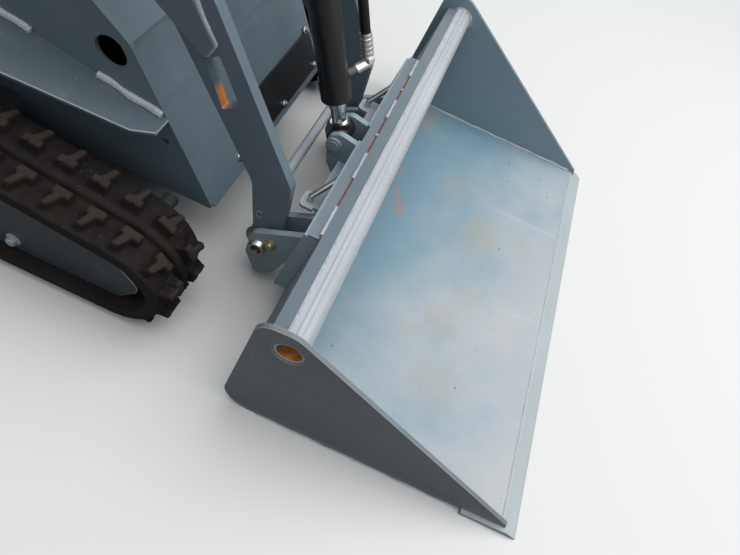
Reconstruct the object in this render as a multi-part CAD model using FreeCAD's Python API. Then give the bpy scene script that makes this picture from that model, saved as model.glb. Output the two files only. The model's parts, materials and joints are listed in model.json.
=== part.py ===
import FreeCAD, Part
import math
import os

# Small tracked stand-on loader with a digging bucket.
# Millimetres. X points forward, Y to the left, Z up from the ground.
# All stations along X are measured back from the bucket's cutting edge (negative);
# every piece is moved forward by half the overall length when it is written.

# Overall
overall_length = 2262.0
seat = 0.3

# Bucket
bucket_width = 1000.0
bucket_side_inset = 8.0
bucket_side_thick = 8.0
bucket_sheet = 8.0
bucket_rear_x = -566.0
bucket_bend_x = -524.0
bucket_bend_z = 274.0
bucket_rear_radius = 60.0
tube_x = -488.0
tube_z = 262.0
tube_radius = 24.0
tube_wall = 5.0
tube_cap_radius = 46.0
edge_depth = 110.0
edge_thick = 13.0
floor_front_x = -38.0
heel_x = -440.0

# Legs, quick-attach plate and tilt cylinder stand a little to the right of the middle
front_y = -25.0
leg_half = 204.0
leg_thick = 20.0
gusset_thick = 8.0
leg_tube_x = -650.0
leg_tube_z = 161.0
leg_tube_radius = 10.0
torque_tube_x = -850.0
torque_tube_z = 655.0
torque_tube_radius = 34.0
ear_pivot_x = -633.0
ear_pivot_z = 108.0
ear_thick = 12.0
ear_gap = 8.0
pivot_pin_radius = 16.0
plate_half = 272.0
plate_depth = 25.0
plate_sheet = 9.0
plate_rim = 10.0
plate_low_z = 94.0
plate_top_z = 262.0
plate_gap = 0.3
shelf_z = 198.0
shelf_thick = 6.0
lever_x = -580.0
lever_radius = 5.5
lever_stations = (-153.0, 146.0)
strip_rear_x = -545.0
strip_low_z = 262.3
strip_top_z = 269.0

# Loader arms
arm_outer_y = 270.0
arm_thick = 20.0
arm_rear_x = -1750.0
arm_rear_z = 1000.0
arm_pin_radius = 20.0

# Tilt cylinder
tilt_rod_x = -590.0
tilt_rod_z = 238.0
tilt_base_x = -785.0
tilt_base_z = 717.0
tilt_barrel_radius = 26.0
tilt_rod_radius = 16.0
tilt_core_radius = 14.0
clevis_half = 24.0
hose_y = 36.0
hose_radius = 9.0
hose_bend = 70.0

# Lift cylinders
lift_y = 203.0
lift_base_x = -1677.0
lift_base_z = 612.0
lift_eye_x = -1155.0
lift_eye_z = 815.0
lift_barrel_radius = 27.0
lift_rod_radius = 16.0

# Chassis
wall_y = 244.0
wall_thick = 8.0
chassis_low_z = 141.0
chassis_rear_x = -1850.0
tower_low_z = 640.0
hood_half = 168.0
hood_front_x = -1060.0
hood_rear_x = -1600.0
deck_front_x = -1010.0
deck_front_z = 520.0
deck_rear_z = 560.0
deck_level_x = -1560.0
hood_gap = 5.0
hood_top_z = 985.0
hood_sheet = 4.0
hinge_x = -1595.0
hinge_pin_radius = 5.0
hinge_knuckle_radius = 9.0
hinge_half_gap = 45.0
console_front_x = -1606.0

# Tracks
track_outer_y = 447.0
track_width = 130.0
belt_thick = 22.0
lug_height = 22.0
lug_foot = 42.0
lug_leg = 22.0
band_half = 11.0
link_count = 36
idler_x = -808.0
idler_z = 118.0
sprocket_x = -1640.0
sprocket_z = 216.0
sprocket_tip_radius = 166.0
rear_roller_x = -1490.0
roller_radius = 46.0

# Fits
pin_play = 0.3
rod_play = 0.3
side_play = 1.0


def vec(x, y, z):
    return FreeCAD.Vector(x, y, z)


def box(x0, x1, y0, y1, z0, z1):
    return Part.makeBox(x1 - x0, y1 - y0, z1 - z0, vec(x0, y0, z0))


def rod(a, b, radius):
    start = vec(*a)
    line = vec(*b) - start
    return Part.makeCylinder(radius, line.Length, start, line)


def cross_pin(x, z, y0, y1, radius):
    return rod((x, y0, z), (x, y1, z), radius)


def wire_xz(points):
    # Closed outline in the XZ plane; a third number is the corner's radius.
    count = len(points)
    edges = []
    last = None
    first = None
    for i in range(count):
        here = points[i]
        p = vec(here[0], 0, here[1])
        radius = here[2] if len(here) > 2 else 0.0
        if radius > 0:
            before = points[i - 1]
            after = points[(i + 1) % count]
            a = vec(before[0], 0, before[1]) - p
            b = vec(after[0], 0, after[1]) - p
            a.normalize()
            b.normalize()
            half = a.getAngle(b) / 2
            cut = radius / math.tan(half)
            start = p + a * cut
            end = p + b * cut
            middle_line = a + b
            middle_line.normalize()
            centre = p + middle_line * (radius / math.sin(half))
            middle = centre - middle_line * radius
        else:
            start = p
            end = p
        if last is not None and (start - last).Length > 1e-6:
            edges.append(Part.LineSegment(last, start).toShape())
        if first is None:
            first = start
        if radius > 0:
            edges.append(Part.Arc(start, middle, end).toShape())
        last = end
    if (first - last).Length > 1e-6:
        edges.append(Part.LineSegment(last, first).toShape())
    return Part.Wire(edges)


def plate(points, y0, y1):
    face = Part.Face(wire_xz(points))
    solid = face.extrude(vec(0, y1 - y0, 0))
    solid.translate(vec(0, y0, 0))
    return solid


def mirrored(shape):
    return shape.mirror(vec(0, 0, 0), vec(0, 1, 0))


def both(shape):
    return [shape, mirrored(shape)]


def in_front(shapes):
    # Moves pieces drawn about the middle to the legs' own middle
    if not isinstance(shapes, list):
        shapes = [shapes]
    moved = []
    for shape in shapes:
        copy = shape.copy()
        copy.translate(vec(0, front_y, 0))
        moved.append(copy)
    return moved[0] if len(moved) == 1 else moved


def joined(shapes):
    whole = shapes[0].fuse(shapes[1:])
    return whole.removeSplitter()


def save(name, shapes):
    if not isinstance(shapes, list):
        shapes = [shapes]
    solids = []
    for shape in shapes:
        solids.extend(shape.Solids)
    out = solids[0] if len(solids) == 1 else Part.makeCompound(solids)
    out = out.copy()
    out.translate(vec(overall_length / 2, 0, 0))
    out.exportStep("parts/" + name + ".step")


def unit(ax, az, bx, bz):
    length = math.hypot(bx - ax, bz - az)
    return (bx - ax) / length, (bz - az) / length


def along(ax, az, bx, bz, distance):
    ux, uz = unit(ax, az, bx, bz)
    return ax + ux * distance, az + uz * distance


# Bucket: rolled floor and back in one sheet, flat sides, welded cutting edge, round tube

def floor_height(x):
    # The floor's underside falls from the cutting edge back to the heel
    return edge_thick * (x - heel_x) / -heel_x


def bucket_back_outline(offset):
    inner = offset
    return [
        (floor_front_x, floor_height(floor_front_x) + inner),
        (heel_x, inner, 200),
        (bucket_rear_x + inner * 1.0, inner, bucket_rear_radius - inner),
        (bucket_bend_x + inner * 0.5, bucket_bend_z - inner * 1.1),
        (tube_x - 2, tube_z + tube_radius + 2.5 - inner),
    ]


def bucket_shell():
    outer = bucket_back_outline(0.0)
    inner = bucket_back_outline(bucket_sheet)
    points = outer + inner[::-1]
    half = bucket_width / 2 - bucket_side_inset - bucket_side_thick
    sheet = plate(points, -half, half)
    tube_room = cross_pin(tube_x, tube_z, -half, half, tube_radius)
    return sheet.cut(tube_room)


def bucket_side():
    outer = bucket_width / 2 - bucket_side_inset
    inner = outer - bucket_side_thick
    points = [
        (-26, floor_height(-26)),
        (-30, floor_height(-26) + 14),
        (tube_x + 30, tube_z + tube_cap_radius - 12, 30),
        (tube_x + 4, tube_z + tube_cap_radius + 4, 40),
        (bucket_rear_x + 26, tube_z + tube_cap_radius - 2, 30),
        (bucket_rear_x - 6, 0, 55),
        (-edge_depth, 0),
        (-edge_depth, floor_height(-edge_depth)),
    ]
    side = plate(points, inner, outer)
    hole = cross_pin(tube_x, tube_z, inner - 1, outer + 1, tube_radius)
    return side.cut(hole)


def bucket_tube():
    half = bucket_width / 2 - bucket_side_inset - 2
    tube = cross_pin(tube_x, tube_z, -half, half, tube_radius)
    bore = cross_pin(tube_x, tube_z, -half - 1, half + 1, tube_radius - tube_wall)
    return tube.cut(bore)


def cutting_edge():
    half = bucket_width / 2
    points = [
        (0, 0),
        (0, 3),
        (-20, floor_height(-20)),
        (-edge_depth, floor_height(-edge_depth)),
        (-edge_depth, 0),
    ]
    bar = plate(points, -half, half)
    return bar


def back_line(z, gap):
    slope = (bucket_bend_x - bucket_rear_x) / (bucket_bend_z - 4)
    return bucket_rear_x + slope * (z - 4) - gap


def hook_strip():
    # Welded to the bucket's back, it hooks over the quick-attach plate
    points = [
        (back_line(strip_low_z, seat), strip_low_z),
        (back_line(strip_top_z, seat), strip_top_z),
        (strip_rear_x, strip_top_z - 1),
        (strip_rear_x, strip_low_z),
    ]
    return in_front(plate(points, -plate_half, plate_half))


# Quick-attach plate: a pan behind the bucket with four pivot ears, a shelf and a clevis

def lean_box(low_z, top_z, near, far, y0, y1):
    # Upright slab parallel to the bucket's back, between two distances behind it
    return plate([
        (back_line(low_z, near), low_z),
        (back_line(top_z, near), top_z),
        (back_line(top_z, far), top_z),
        (back_line(low_z, far), low_z),
    ], y0, y1)


def ear():
    return [
        (ear_pivot_x - 17, ear_pivot_z + 30, 22),
        (back_line(188, plate_depth), 188),
        (back_line(188, plate_depth - 2), 188),
        (back_line(100, plate_depth - 2), 100),
        (back_line(100, plate_depth), 100),
        (ear_pivot_x + 36, ear_pivot_z - 62, 20),
        (ear_pivot_x + 4, ear_pivot_z - 88, 10),
        (ear_pivot_x - 22, ear_pivot_z - 30, 20),
    ]


def clevis():
    return [
        (tilt_rod_x - 17, tilt_rod_z + 12, 16),
        (tilt_rod_x + 6, tilt_rod_z + 26, 16),
        (back_line(258, plate_depth - 2), 258),
        (back_line(150, plate_depth - 2), 150),
        (tilt_rod_x - 4, tilt_rod_z - 50),
    ]


def lever_route(y):
    # From the shelf up, then forward over the plate's edge
    low = (lever_x, y, shelf_z - 16)
    knee = (lever_x, y, shelf_z + 16)
    high = (lever_x + 31, y + 24, strip_low_z - 8)
    return low, knee, high


def attach_plate():
    near = plate_gap
    far = plate_depth
    body = lean_box(plate_low_z, plate_top_z, near, far, -plate_half, plate_half)
    pocket = lean_box(
        plate_low_z + plate_rim, plate_top_z - plate_rim,
        near + plate_sheet, far + 10,
        -plate_half + plate_rim, plate_half - plate_rim)
    notch = lean_box(
        plate_top_z - plate_rim - 2, plate_top_z + 2,
        near + plate_sheet, far + 10,
        -clevis_half, clevis_half)
    pieces = [body.cut(pocket).cut(notch)]
    outer_y = leg_half + ear_gap
    inner_y = leg_half - leg_thick - ear_gap - ear_thick
    for y in (outer_y, inner_y):
        one = plate(ear(), y, y + ear_thick)
        foot = lean_box(104, 186, near + 2, far, y, y + ear_thick)
        one = one.fuse(foot)
        one = one.cut(cross_pin(ear_pivot_x, ear_pivot_z, y - 1, y + 30, pivot_pin_radius + pin_play))
        pieces.extend(both(one))
    shelf_x = back_line(shelf_z, far) - 12
    shelf = box(shelf_x, back_line(shelf_z, near + 4), clevis_half + 2, inner_y + 2, shelf_z, shelf_z + shelf_thick)
    pieces.extend(both(shelf))
    for y in lever_stations:
        tab = box(shelf_x - 22, shelf_x + 4, y - 19, y + 19, shelf_z, shelf_z + shelf_thick)
        corners = [edge for edge in tab.Edges if edge.BoundBox.ZLength > 1 and edge.BoundBox.XMax < shelf_x - 20]
        pieces.append(tab.makeFillet(9, corners))
    for y in (-clevis_half - ear_thick, clevis_half):
        pieces.append(plate(clevis(), y, y + ear_thick))
        pieces.append(lean_box(152, 256, near + 2, far, y, y + ear_thick))
        head = y - 6 if y < 0 else y + 6
        pieces.append(cross_pin(tilt_rod_x, tilt_rod_z, head, head + 12, 15))
    whole = joined(pieces)
    for y in lever_stations:
        low, knee, high = lever_route(y)
        whole = whole.cut(rod(low, knee, lever_radius + pin_play))
        whole = whole.cut(rod(knee, high, lever_radius + pin_play))
    return in_front(whole)


def pivot_pins():
    low = leg_half - leg_thick - ear_gap - ear_thick - 6
    high = leg_half + ear_gap + ear_thick + 10
    return in_front(both(cross_pin(ear_pivot_x, ear_pivot_z, low, high, pivot_pin_radius)))


def lock_levers():
    levers = []
    for y in lever_stations:
        low, knee, high = lever_route(y)
        ball = Part.makeSphere(lever_radius, vec(*knee))
        levers.append(joined([rod(low, knee, lever_radius), ball, rod(knee, high, lever_radius)]))
    return in_front(levers)


# Loader arms

def leg_outline():
    return [
        (ear_pivot_x + 33, ear_pivot_z - 34, 28),
        (-604, 262, 30),
        (-806, 603, 60),
        (-806, 706, 44),
        (-896, 706, 44),
        (-896, 594, 60),
        (-672, 242, 50),
        (-657, 140, 40),
        (ear_pivot_x - 25, ear_pivot_z - 34, 22),
    ]


def gusset_outline():
    # Plate lapped over the leg's outer face below the torque tube
    return [
        (-764, 440, 5),
        (-751, 463, 5),
        (-784, 515),
        (-828, 590, 30),
        (-828, 694, 24),
        (-884, 694, 24),
        (-880, 566, 20),
        (-836, 489, 10),
    ]


def slot_outline():
    return [(-746, 448, 3), (-766, 432, 3), (-735, 359, 3), (-709, 381, 3)]


def boom_outline():
    return [
        (-796, 600, 44),
        (-796, 700, 50),
        (-920, 712, 60),
        (arm_rear_x + 20, arm_rear_z + 58, 50),
        (arm_rear_x - 56, arm_rear_z + 30, 50),
        (arm_rear_x - 40, arm_rear_z - 62, 50),
        (-1400, 812, 100),
        (-890, 590, 80),
    ]


def loader_arms():
    inner = arm_outer_y - arm_thick
    leg = plate(leg_outline(), leg_half - leg_thick, leg_half)
    gusset = plate(gusset_outline(), leg_half - seat, leg_half + gusset_thick)
    leg = joined([leg, gusset])
    leg = leg.cut(plate(slot_outline(), 100, 300))
    leg = leg.cut(cross_pin(ear_pivot_x, ear_pivot_z, 100, 300, pivot_pin_radius + pin_play))
    leg_inner = leg_half - leg_thick
    leg_tube = cross_pin(leg_tube_x, leg_tube_z, -leg_inner - seat, leg_inner + seat, leg_tube_radius)
    parts = in_front(both(leg) + [leg_tube])
    boom = plate(boom_outline(), inner, arm_outer_y)
    boom = boom.cut(cross_pin(arm_rear_x, arm_rear_z, 200, 300, arm_pin_radius + pin_play))
    boom = boom.cut(cross_pin(lift_eye_x, lift_eye_z, 200, 300, 15))
    parts.extend(both(boom))
    parts.append(cross_pin(torque_tube_x, torque_tube_z, -inner - seat, inner + seat, torque_tube_radius))
    base_ear = [
        (tilt_base_x - 6, tilt_base_z + 26),
        (tilt_base_x + 14, tilt_base_z - 22),
        (torque_tube_x, torque_tube_z - 15),
        (torque_tube_x - 16, torque_tube_z + 17),
    ]
    for y in (-46, 34):
        disc = cross_pin(tilt_base_x, tilt_base_z, y, y + 12, 27)
        one_ear = plate(base_ear, y, y + 12).fuse(disc)
        parts.append(in_front(one_ear.cut(cross_pin(tilt_base_x, tilt_base_z, y - 1, y + 13, 14))))
    return joined(parts)


def arm_pins():
    pins = [in_front(cross_pin(tilt_base_x, tilt_base_z, -52, 52, 14))]
    lift = cross_pin(lift_eye_x, lift_eye_z, lift_y + 20 + side_play, arm_outer_y + 8, 15)
    pins.extend(both(lift))
    return pins


# Cylinders: the barrel's eye is its base, the rod's eye is its far end

def cylinder_barrel(base, eye, y, radius, length, eye_width, pin_radius):
    bx, bz = base
    ex, ez = eye
    start = along(bx, bz, ex, ez, radius + 10)
    end = along(bx, bz, ex, ez, length)
    body = rod((start[0], y, start[1]), (end[0], y, end[1]), radius)
    gland_start = along(bx, bz, ex, ez, length - 40)
    gland = rod((gland_start[0], y, gland_start[1]), (end[0], y, end[1]), radius + 2)
    boss = cross_pin(bx, bz, y - eye_width / 2, y + eye_width / 2, pin_radius + 13)
    neck_end = along(bx, bz, ex, ez, radius + 20)
    neck = rod((bx, y, bz), (neck_end[0], y, neck_end[1]), min(eye_width / 2 - 2, pin_radius + 6))
    return joined([body, gland, neck, boss])


def barrel_cut(barrel, base, eye, y, length, rod_radius, pin_radius):
    bx, bz = base
    ex, ez = eye
    a = along(bx, bz, ex, ez, pin_radius + 40)
    b = along(bx, bz, ex, ez, length + 5)
    bore = rod((a[0], y, a[1]), (b[0], y, b[1]), rod_radius + rod_play)
    pin = cross_pin(bx, bz, y - 60, y + 60, pin_radius + pin_play)
    return barrel.cut(bore).cut(pin)


def cylinder_rod(base, eye, y, radius, reach, eye_width, pin_radius):
    # The eye keeps its own length of pin
    bx, bz = base
    ex, ez = eye
    start = along(ex, ez, bx, bz, reach)
    body = rod((start[0], y, start[1]), (ex, y, ez), radius)
    boss = cross_pin(ex, ez, y - eye_width / 2, y + eye_width / 2, pin_radius + 10)
    return joined([body, boss])


tilt_base = (tilt_base_x, tilt_base_z)
tilt_eye = (tilt_rod_x, tilt_rod_z)
tilt_length = math.hypot(tilt_rod_x - tilt_base_x, tilt_rod_z - tilt_base_z)
tilt_barrel_length = tilt_length - 74
lift_base = (lift_base_x, lift_base_z)
lift_eye = (lift_eye_x, lift_eye_z)
lift_length = math.hypot(lift_eye_x - lift_base_x, lift_eye_z - lift_base_z)
lift_barrel_length = lift_length - 52


def on_tilt_line(distance, y):
    # Point at a distance up the tilt cylinder from its rod's eye
    x, z = along(tilt_rod_x, tilt_rod_z, tilt_base_x, tilt_base_z, distance)
    return (x, y, z)


def between(a, b, distance):
    start = vec(*a)
    line = vec(*b) - start
    line.normalize()
    point = start + line * distance
    return (point.x, point.y, point.z)


port_foot = on_tilt_line(105, front_y)
hose_low = (-594.0, hose_y, 357.0)


def tilt_barrel():
    barrel = cylinder_barrel(tilt_base, tilt_eye, front_y, tilt_barrel_radius, tilt_barrel_length, 64, 14)
    port = rod(port_foot, between(port_foot, hose_low, 44), 12)
    barrel = joined([barrel, port])
    return barrel_cut(barrel, tilt_base, tilt_eye, front_y, tilt_barrel_length, tilt_rod_radius, 14)


def tilt_rod():
    # Chromed tube; the rod's end runs in it
    tube = rod(on_tilt_line(330, front_y), on_tilt_line(58, front_y), tilt_rod_radius)
    bore = rod(on_tilt_line(331, front_y), on_tilt_line(0, front_y), tilt_core_radius + rod_play)
    return tube.cut(bore)


def tilt_rod_end():
    end = cylinder_rod(tilt_base, tilt_eye, front_y, tilt_core_radius, 200, 44, 10)
    collar = rod(on_tilt_line(10, front_y), on_tilt_line(27, front_y), 18)
    bore = cross_pin(tilt_rod_x, tilt_rod_z, front_y - 30, front_y + 30, 14)
    return joined([end, collar]).cut(bore)


def hose_route():
    # Up beside the barrel, then over to the torque tube, meeting it square on
    ux, uz = unit(tilt_rod_x, tilt_rod_z, tilt_base_x, tilt_base_z)
    toward_x = 0.918
    toward_z = 0.397
    reach = torque_tube_radius + seat
    end = (torque_tube_x + toward_x * reach, hose_y, torque_tube_z + toward_z * reach)
    # Where the line up the barrel meets the line out of the torque tube
    dx = end[0] - hose_low[0]
    dz = end[2] - hose_low[2]
    cross = ux * toward_z - uz * toward_x
    climb = (dx * toward_z - dz * toward_x) / cross
    corner = (hose_low[0] + ux * climb, hose_y, hose_low[2] + uz * climb)
    return hose_low, corner, end


def hose_fittings():
    low, corner, end = hose_route()
    foot = between(port_foot, low, 44 + seat)
    elbow = [rod(foot, low, 9), Part.makeSphere(10, vec(*low)), rod(low, between(low, corner, 20), 9)]
    elbow.append(rod(between(low, corner, 16), between(low, corner, 54), 10.5))
    upper = rod(end, between(end, corner, 14), 11)
    return [joined(elbow), upper]


def tilt_hose():
    low, corner, end = hose_route()
    a = between(low, corner, 54 + seat)
    b = between(end, corner, 14 + seat)
    bend_start = between(corner, low, hose_bend)
    bend_end = between(corner, end, hose_bend)
    first = vec(*bend_start) - vec(*corner)
    second = vec(*bend_end) - vec(*corner)
    centre = vec(*corner) + first + second
    middle_line = vec(*corner) - centre
    middle_line.normalize()
    middle = centre + middle_line * hose_bend
    edges = [
        Part.LineSegment(vec(*a), vec(*bend_start)).toShape(),
        Part.Arc(vec(*bend_start), middle, vec(*bend_end)).toShape(),
        Part.LineSegment(vec(*bend_end), vec(*b)).toShape(),
    ]
    route = Part.Wire(edges)
    ring = Part.Wire([Part.makeCircle(hose_radius, vec(*a), vec(*bend_start) - vec(*a))])
    return route.makePipeShell([ring], True, False)


def lift_barrel(side):
    y = lift_y * side
    barrel = cylinder_barrel(lift_base, lift_eye, y, lift_barrel_radius, lift_barrel_length, 44, 15)
    return barrel_cut(barrel, lift_base, lift_eye, y, lift_barrel_length, lift_rod_radius, 15)


def lift_rod(side):
    y = lift_y * side
    return cylinder_rod(lift_base, lift_eye, y, lift_rod_radius, lift_length - 60, 40, 15)


# Chassis: two side walls, sloping front, belly, fenders over the tracks, towers at the rear

def deck_height(x):
    share = (deck_front_x - x) / (deck_front_x - deck_level_x)
    return deck_front_z + share * (deck_rear_z - deck_front_z)


def wall_outline():
    return [
        (-727, chassis_low_z, 6),
        (-871, 408, 30),
        (deck_front_x, deck_front_z, 40),
        (deck_level_x, deck_rear_z, 30),
        (-1600, tower_low_z, 20),
        (chassis_rear_x, tower_low_z),
        (chassis_rear_x, 260),
        (chassis_rear_x + 70, chassis_low_z),
    ]


def chassis():
    inner = wall_y - wall_thick
    wall = plate(wall_outline(), inner, wall_y)
    wall = wall.cut(cross_pin(-902, 380, inner - 1, wall_y + 1, 25))
    wall = wall.cut(cross_pin(-818, 254, inner - 1, wall_y + 1, 6))
    wall = wall.cut(cross_pin(lift_base_x, lift_base_z, inner - 1, wall_y + 1, 15))
    front = plate([(-727, 141), (-819, 312), (-828, 308), (-736, 141)], -inner, inner)
    fold = plate([(-819, 312), (-848, 312), (-848, 304), (-815, 304)], -inner, inner)
    upper = plate([(-838, 312), (-893, 415), (-902, 411), (-847, 308)], -inner, inner)
    slope = plate([
        (-871, 408),
        (deck_front_x, deck_front_z),
        (deck_front_x - 6, deck_front_z - 6),
        (-880, 400),
    ], -inner, inner)
    belly = box(chassis_rear_x + 70, -736, -inner, inner, chassis_low_z, chassis_low_z + 10)
    rear = box(chassis_rear_x, chassis_rear_x + 10, -inner, inner, 255, 600)
    rear_slope = plate([
        (chassis_rear_x, 262),
        (chassis_rear_x + 72, chassis_low_z),
        (chassis_rear_x + 80, chassis_low_z + 8),
        (chassis_rear_x + 10, 262),
    ], -inner, inner)
    deck = plate([
        (deck_front_x + 2, deck_front_z),
        (deck_level_x, deck_rear_z),
        (chassis_rear_x + 2, deck_rear_z),
        (chassis_rear_x + 2, deck_rear_z - 8),
        (deck_level_x, deck_rear_z - 8),
        (deck_front_x + 2, deck_front_z - 8),
    ], -inner, inner)
    deck = deck.cut(box(-1540, -1100, -140, 140, 400, 700))
    shapes = both(wall) + [front, fold, upper, slope, belly, rear, rear_slope, deck]
    return joined(shapes)


def fender():
    # Sloping flange over the inner part of the track, cut back towards its front end
    slope = math.tan(math.radians(11.0))
    front_z = 298.0
    rear_x = -1700.0
    front_x = -812.0
    rise = (front_x - rear_x) * slope
    profile = [
        (front_x, front_z),
        (rear_x, front_z + rise),
        (rear_x, front_z + rise + 6),
        (front_x, front_z + 6),
    ]
    strip = plate(profile, wall_y, 345)
    cutter = Part.makePolygon([
        vec(-700, 270, 0),
        vec(-800, 270, 0),
        vec(-842, 300, 0),
        vec(-1060, 345, 0),
        vec(-1060, 400, 0),
        vec(-700, 400, 0),
        vec(-700, 270, 0),
    ])
    tool = Part.Face(cutter).extrude(vec(0, 0, 900))
    return strip.cut(tool)


def rear_towers():
    inner = [
        (-1622, tower_low_z),
        (arm_rear_x + 62, arm_rear_z - 20, 40),
        (arm_rear_x + 44, arm_rear_z + 60, 50),
        (arm_rear_x - 52, arm_rear_z + 60, 50),
        (chassis_rear_x, 880, 40),
        (chassis_rear_x, tower_low_z),
    ]
    outer = [
        (arm_rear_x + 48, arm_rear_z + 52, 34),
        (arm_rear_x - 52, arm_rear_z + 52, 34),
        (arm_rear_x - 84, arm_rear_z - 120, 20),
        (arm_rear_x - 84, arm_rear_z - 300),
        (arm_rear_x - 46, arm_rear_z - 300, 20),
        (arm_rear_x - 36, arm_rear_z - 100, 20),
    ]
    inner_plate = plate(inner, wall_y - wall_thick, wall_y)
    outer_plate = plate(outer, 280, 292)
    web = box(arm_rear_x - 78, arm_rear_x - 66, wall_y - 4, 286, arm_rear_z - 296, arm_rear_z - 100)
    bracket = plate([
        (lift_base_x + 34, lift_base_z + 32, 30),
        (lift_base_x - 34, lift_base_z + 32, 30),
        (lift_base_x - 56, deck_rear_z),
        (lift_base_x + 56, deck_rear_z),
    ], 164, 174)
    hole = cross_pin(arm_rear_x, arm_rear_z, 200, 300, arm_pin_radius)
    low_hole = cross_pin(lift_base_x, lift_base_z, 160, 260, 15)
    tower = joined([inner_plate, outer_plate, web]).cut(hole)
    bracket = bracket.cut(low_hole)
    inner_y = wall_y - wall_thick
    back = box(chassis_rear_x, chassis_rear_x + 10, -inner_y, inner_y, 600, 840)
    return [tower, bracket], back


def tower_pins():
    pins = both(cross_pin(arm_rear_x, arm_rear_z, 230, 300, arm_pin_radius))
    pins += both(cross_pin(lift_base_x, lift_base_z, 160, 250, 15))
    return pins


def front_cover():
    # Black sheet on the lower front, set over to the left
    low = along(-727, chassis_low_z, -871, 408, 16)
    high = along(-727, chassis_low_z, -871, 408, 97)
    ux, uz = unit(low[0], low[1], high[0], high[1])
    nx, nz = uz, -ux
    points = [
        (low[0] + nx * seat, low[1] + nz * seat),
        (high[0] + nx * seat, high[1] + nz * seat),
        (high[0] + nx * 4, high[1] + nz * 4),
        (low[0] + nx * 4, low[1] + nz * 4),
    ]
    return plate(points, -110, 232)


# Tracks: one loop each, its lugs in its outline

def loop_circles(tip_offset):
    # Centre x, centre z, radius of the loop's surface at that offset in from the lug tips
    low_radius = roller_radius + belt_thick + lug_height
    return [
        (idler_x, idler_z, idler_z - tip_offset),
        (sprocket_x, sprocket_z, sprocket_tip_radius - tip_offset),
        (rear_roller_x, low_radius, low_radius - tip_offset),
    ]


def tangent(c0, c1):
    # Outer tangent line from circle c0 to c1, the loop running over the top to the rear
    dx = c1[0] - c0[0]
    dz = c1[1] - c0[1]
    dist = math.hypot(dx, dz)
    base = math.atan2(dz, dx)
    lean = math.acos((c0[2] - c1[2]) / dist)
    angle = base - lean
    nx = math.cos(angle)
    nz = math.sin(angle)
    a = (c0[0] + nx * c0[2], c0[1] + nz * c0[2])
    b = (c1[0] + nx * c1[2], c1[1] + nz * c1[2])
    return a, b, angle


def loop_pieces(tip_offset):
    circles = loop_circles(tip_offset)
    pieces = []
    count = len(circles)
    lines = [tangent(circles[i], circles[(i + 1) % count]) for i in range(count)]
    for i in range(count):
        a, b, angle = lines[i]
        pieces.append(("line", a, b, angle))
        following = lines[(i + 1) % count]
        circle = circles[(i + 1) % count]
        sweep = (following[2] - angle) % (2 * math.pi)
        pieces.append(("arc", circle, angle, sweep))
    return pieces


def loop_point(pieces, distance):
    # Point and outward direction at a distance along the loop
    for piece in pieces:
        if piece[0] == "line":
            a, b, angle = piece[1:]
            length = math.hypot(b[0] - a[0], b[1] - a[1])
            if distance <= length:
                t = distance / length
                return (a[0] + (b[0] - a[0]) * t, a[1] + (b[1] - a[1]) * t, angle)
        else:
            circle, angle, sweep = piece[1:]
            length = circle[2] * sweep
            if distance <= length:
                turn = angle + distance / circle[2]
                return (circle[0] + circle[2] * math.cos(turn),
                        circle[1] + circle[2] * math.sin(turn), turn)
        distance -= length
    return loop_point(pieces, distance)


def loop_length(pieces):
    total = 0.0
    for piece in pieces:
        if piece[0] == "line":
            total += math.hypot(piece[2][0] - piece[1][0], piece[2][1] - piece[1][1])
        else:
            total += piece[1][2] * piece[3]
    return total


belt_pieces = loop_pieces(lug_height)
inner_pieces = loop_pieces(lug_height + belt_thick)
belt_length = loop_length(belt_pieces)
pitch = belt_length / link_count


def toothed_outline(phase, lug_length):
    points = []
    for i in range(link_count):
        middle = (i + phase) * pitch
        for offset, height in ((-0.5, 0.0), (-0.42, lug_height), (0.42, lug_height), (0.5, 0.0)):
            x, z, angle = loop_point(belt_pieces, (middle + offset * lug_length) % belt_length)
            points.append((x + math.cos(angle) * height, z + math.sin(angle) * height))
    return points


def on_circle(circle, angle):
    return vec(circle[0] + circle[2] * math.cos(angle), 0, circle[1] + circle[2] * math.sin(angle))


def loop_band(pieces, y0, y1):
    edges = []
    for piece in pieces:
        if piece[0] == "line":
            a, b, angle = piece[1:]
            edges.append(Part.LineSegment(vec(a[0], 0, a[1]), vec(b[0], 0, b[1])).toShape())
        else:
            circle, angle, sweep = piece[1:]
            start = on_circle(circle, angle)
            middle = on_circle(circle, angle + sweep / 2)
            end = on_circle(circle, angle + sweep)
            edges.append(Part.Arc(start, middle, end).toShape())
    band = Part.Face(Part.Wire(edges)).extrude(vec(0, y1 - y0, 0))
    band.translate(vec(0, y0, 0))
    return band


def track_loop():
    # Lug rows: start y, end y, shift along the loop in links, lug length
    outer = track_outer_y
    near = outer - track_width / 2 + band_half
    far = outer - track_width / 2 - band_half
    inner = outer - track_width
    rows = (
        (near + 27, outer, 0.12, lug_leg),
        (near, near + 27, 0.0, lug_foot),
        (far - 27, far, 0.5, lug_foot),
        (inner, far - 27, 0.38, lug_leg),
    )
    bands = []
    for y0, y1, phase, length in rows:
        bands.append(plate(toothed_outline(phase, length), y0, y1))
    bands.append(loop_band(belt_pieces, far, near))
    solid = joined(bands)
    hole = loop_band(inner_pieces, inner - 1, outer + 1)
    return solid.cut(hole)


def wheel(x, z, radius, y0, y1):
    return cross_pin(x, z, y0, y1, radius)


track_centre_y = track_outer_y - track_width / 2
frame_y = track_centre_y - 45
cover_y = track_centre_y + 37
axle_radius = 14.0
rim_half = 30.0
rim_web_half = 18.0
hub_half = 35.0
disc_near = 10.0
disc_far = 32.0


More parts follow.
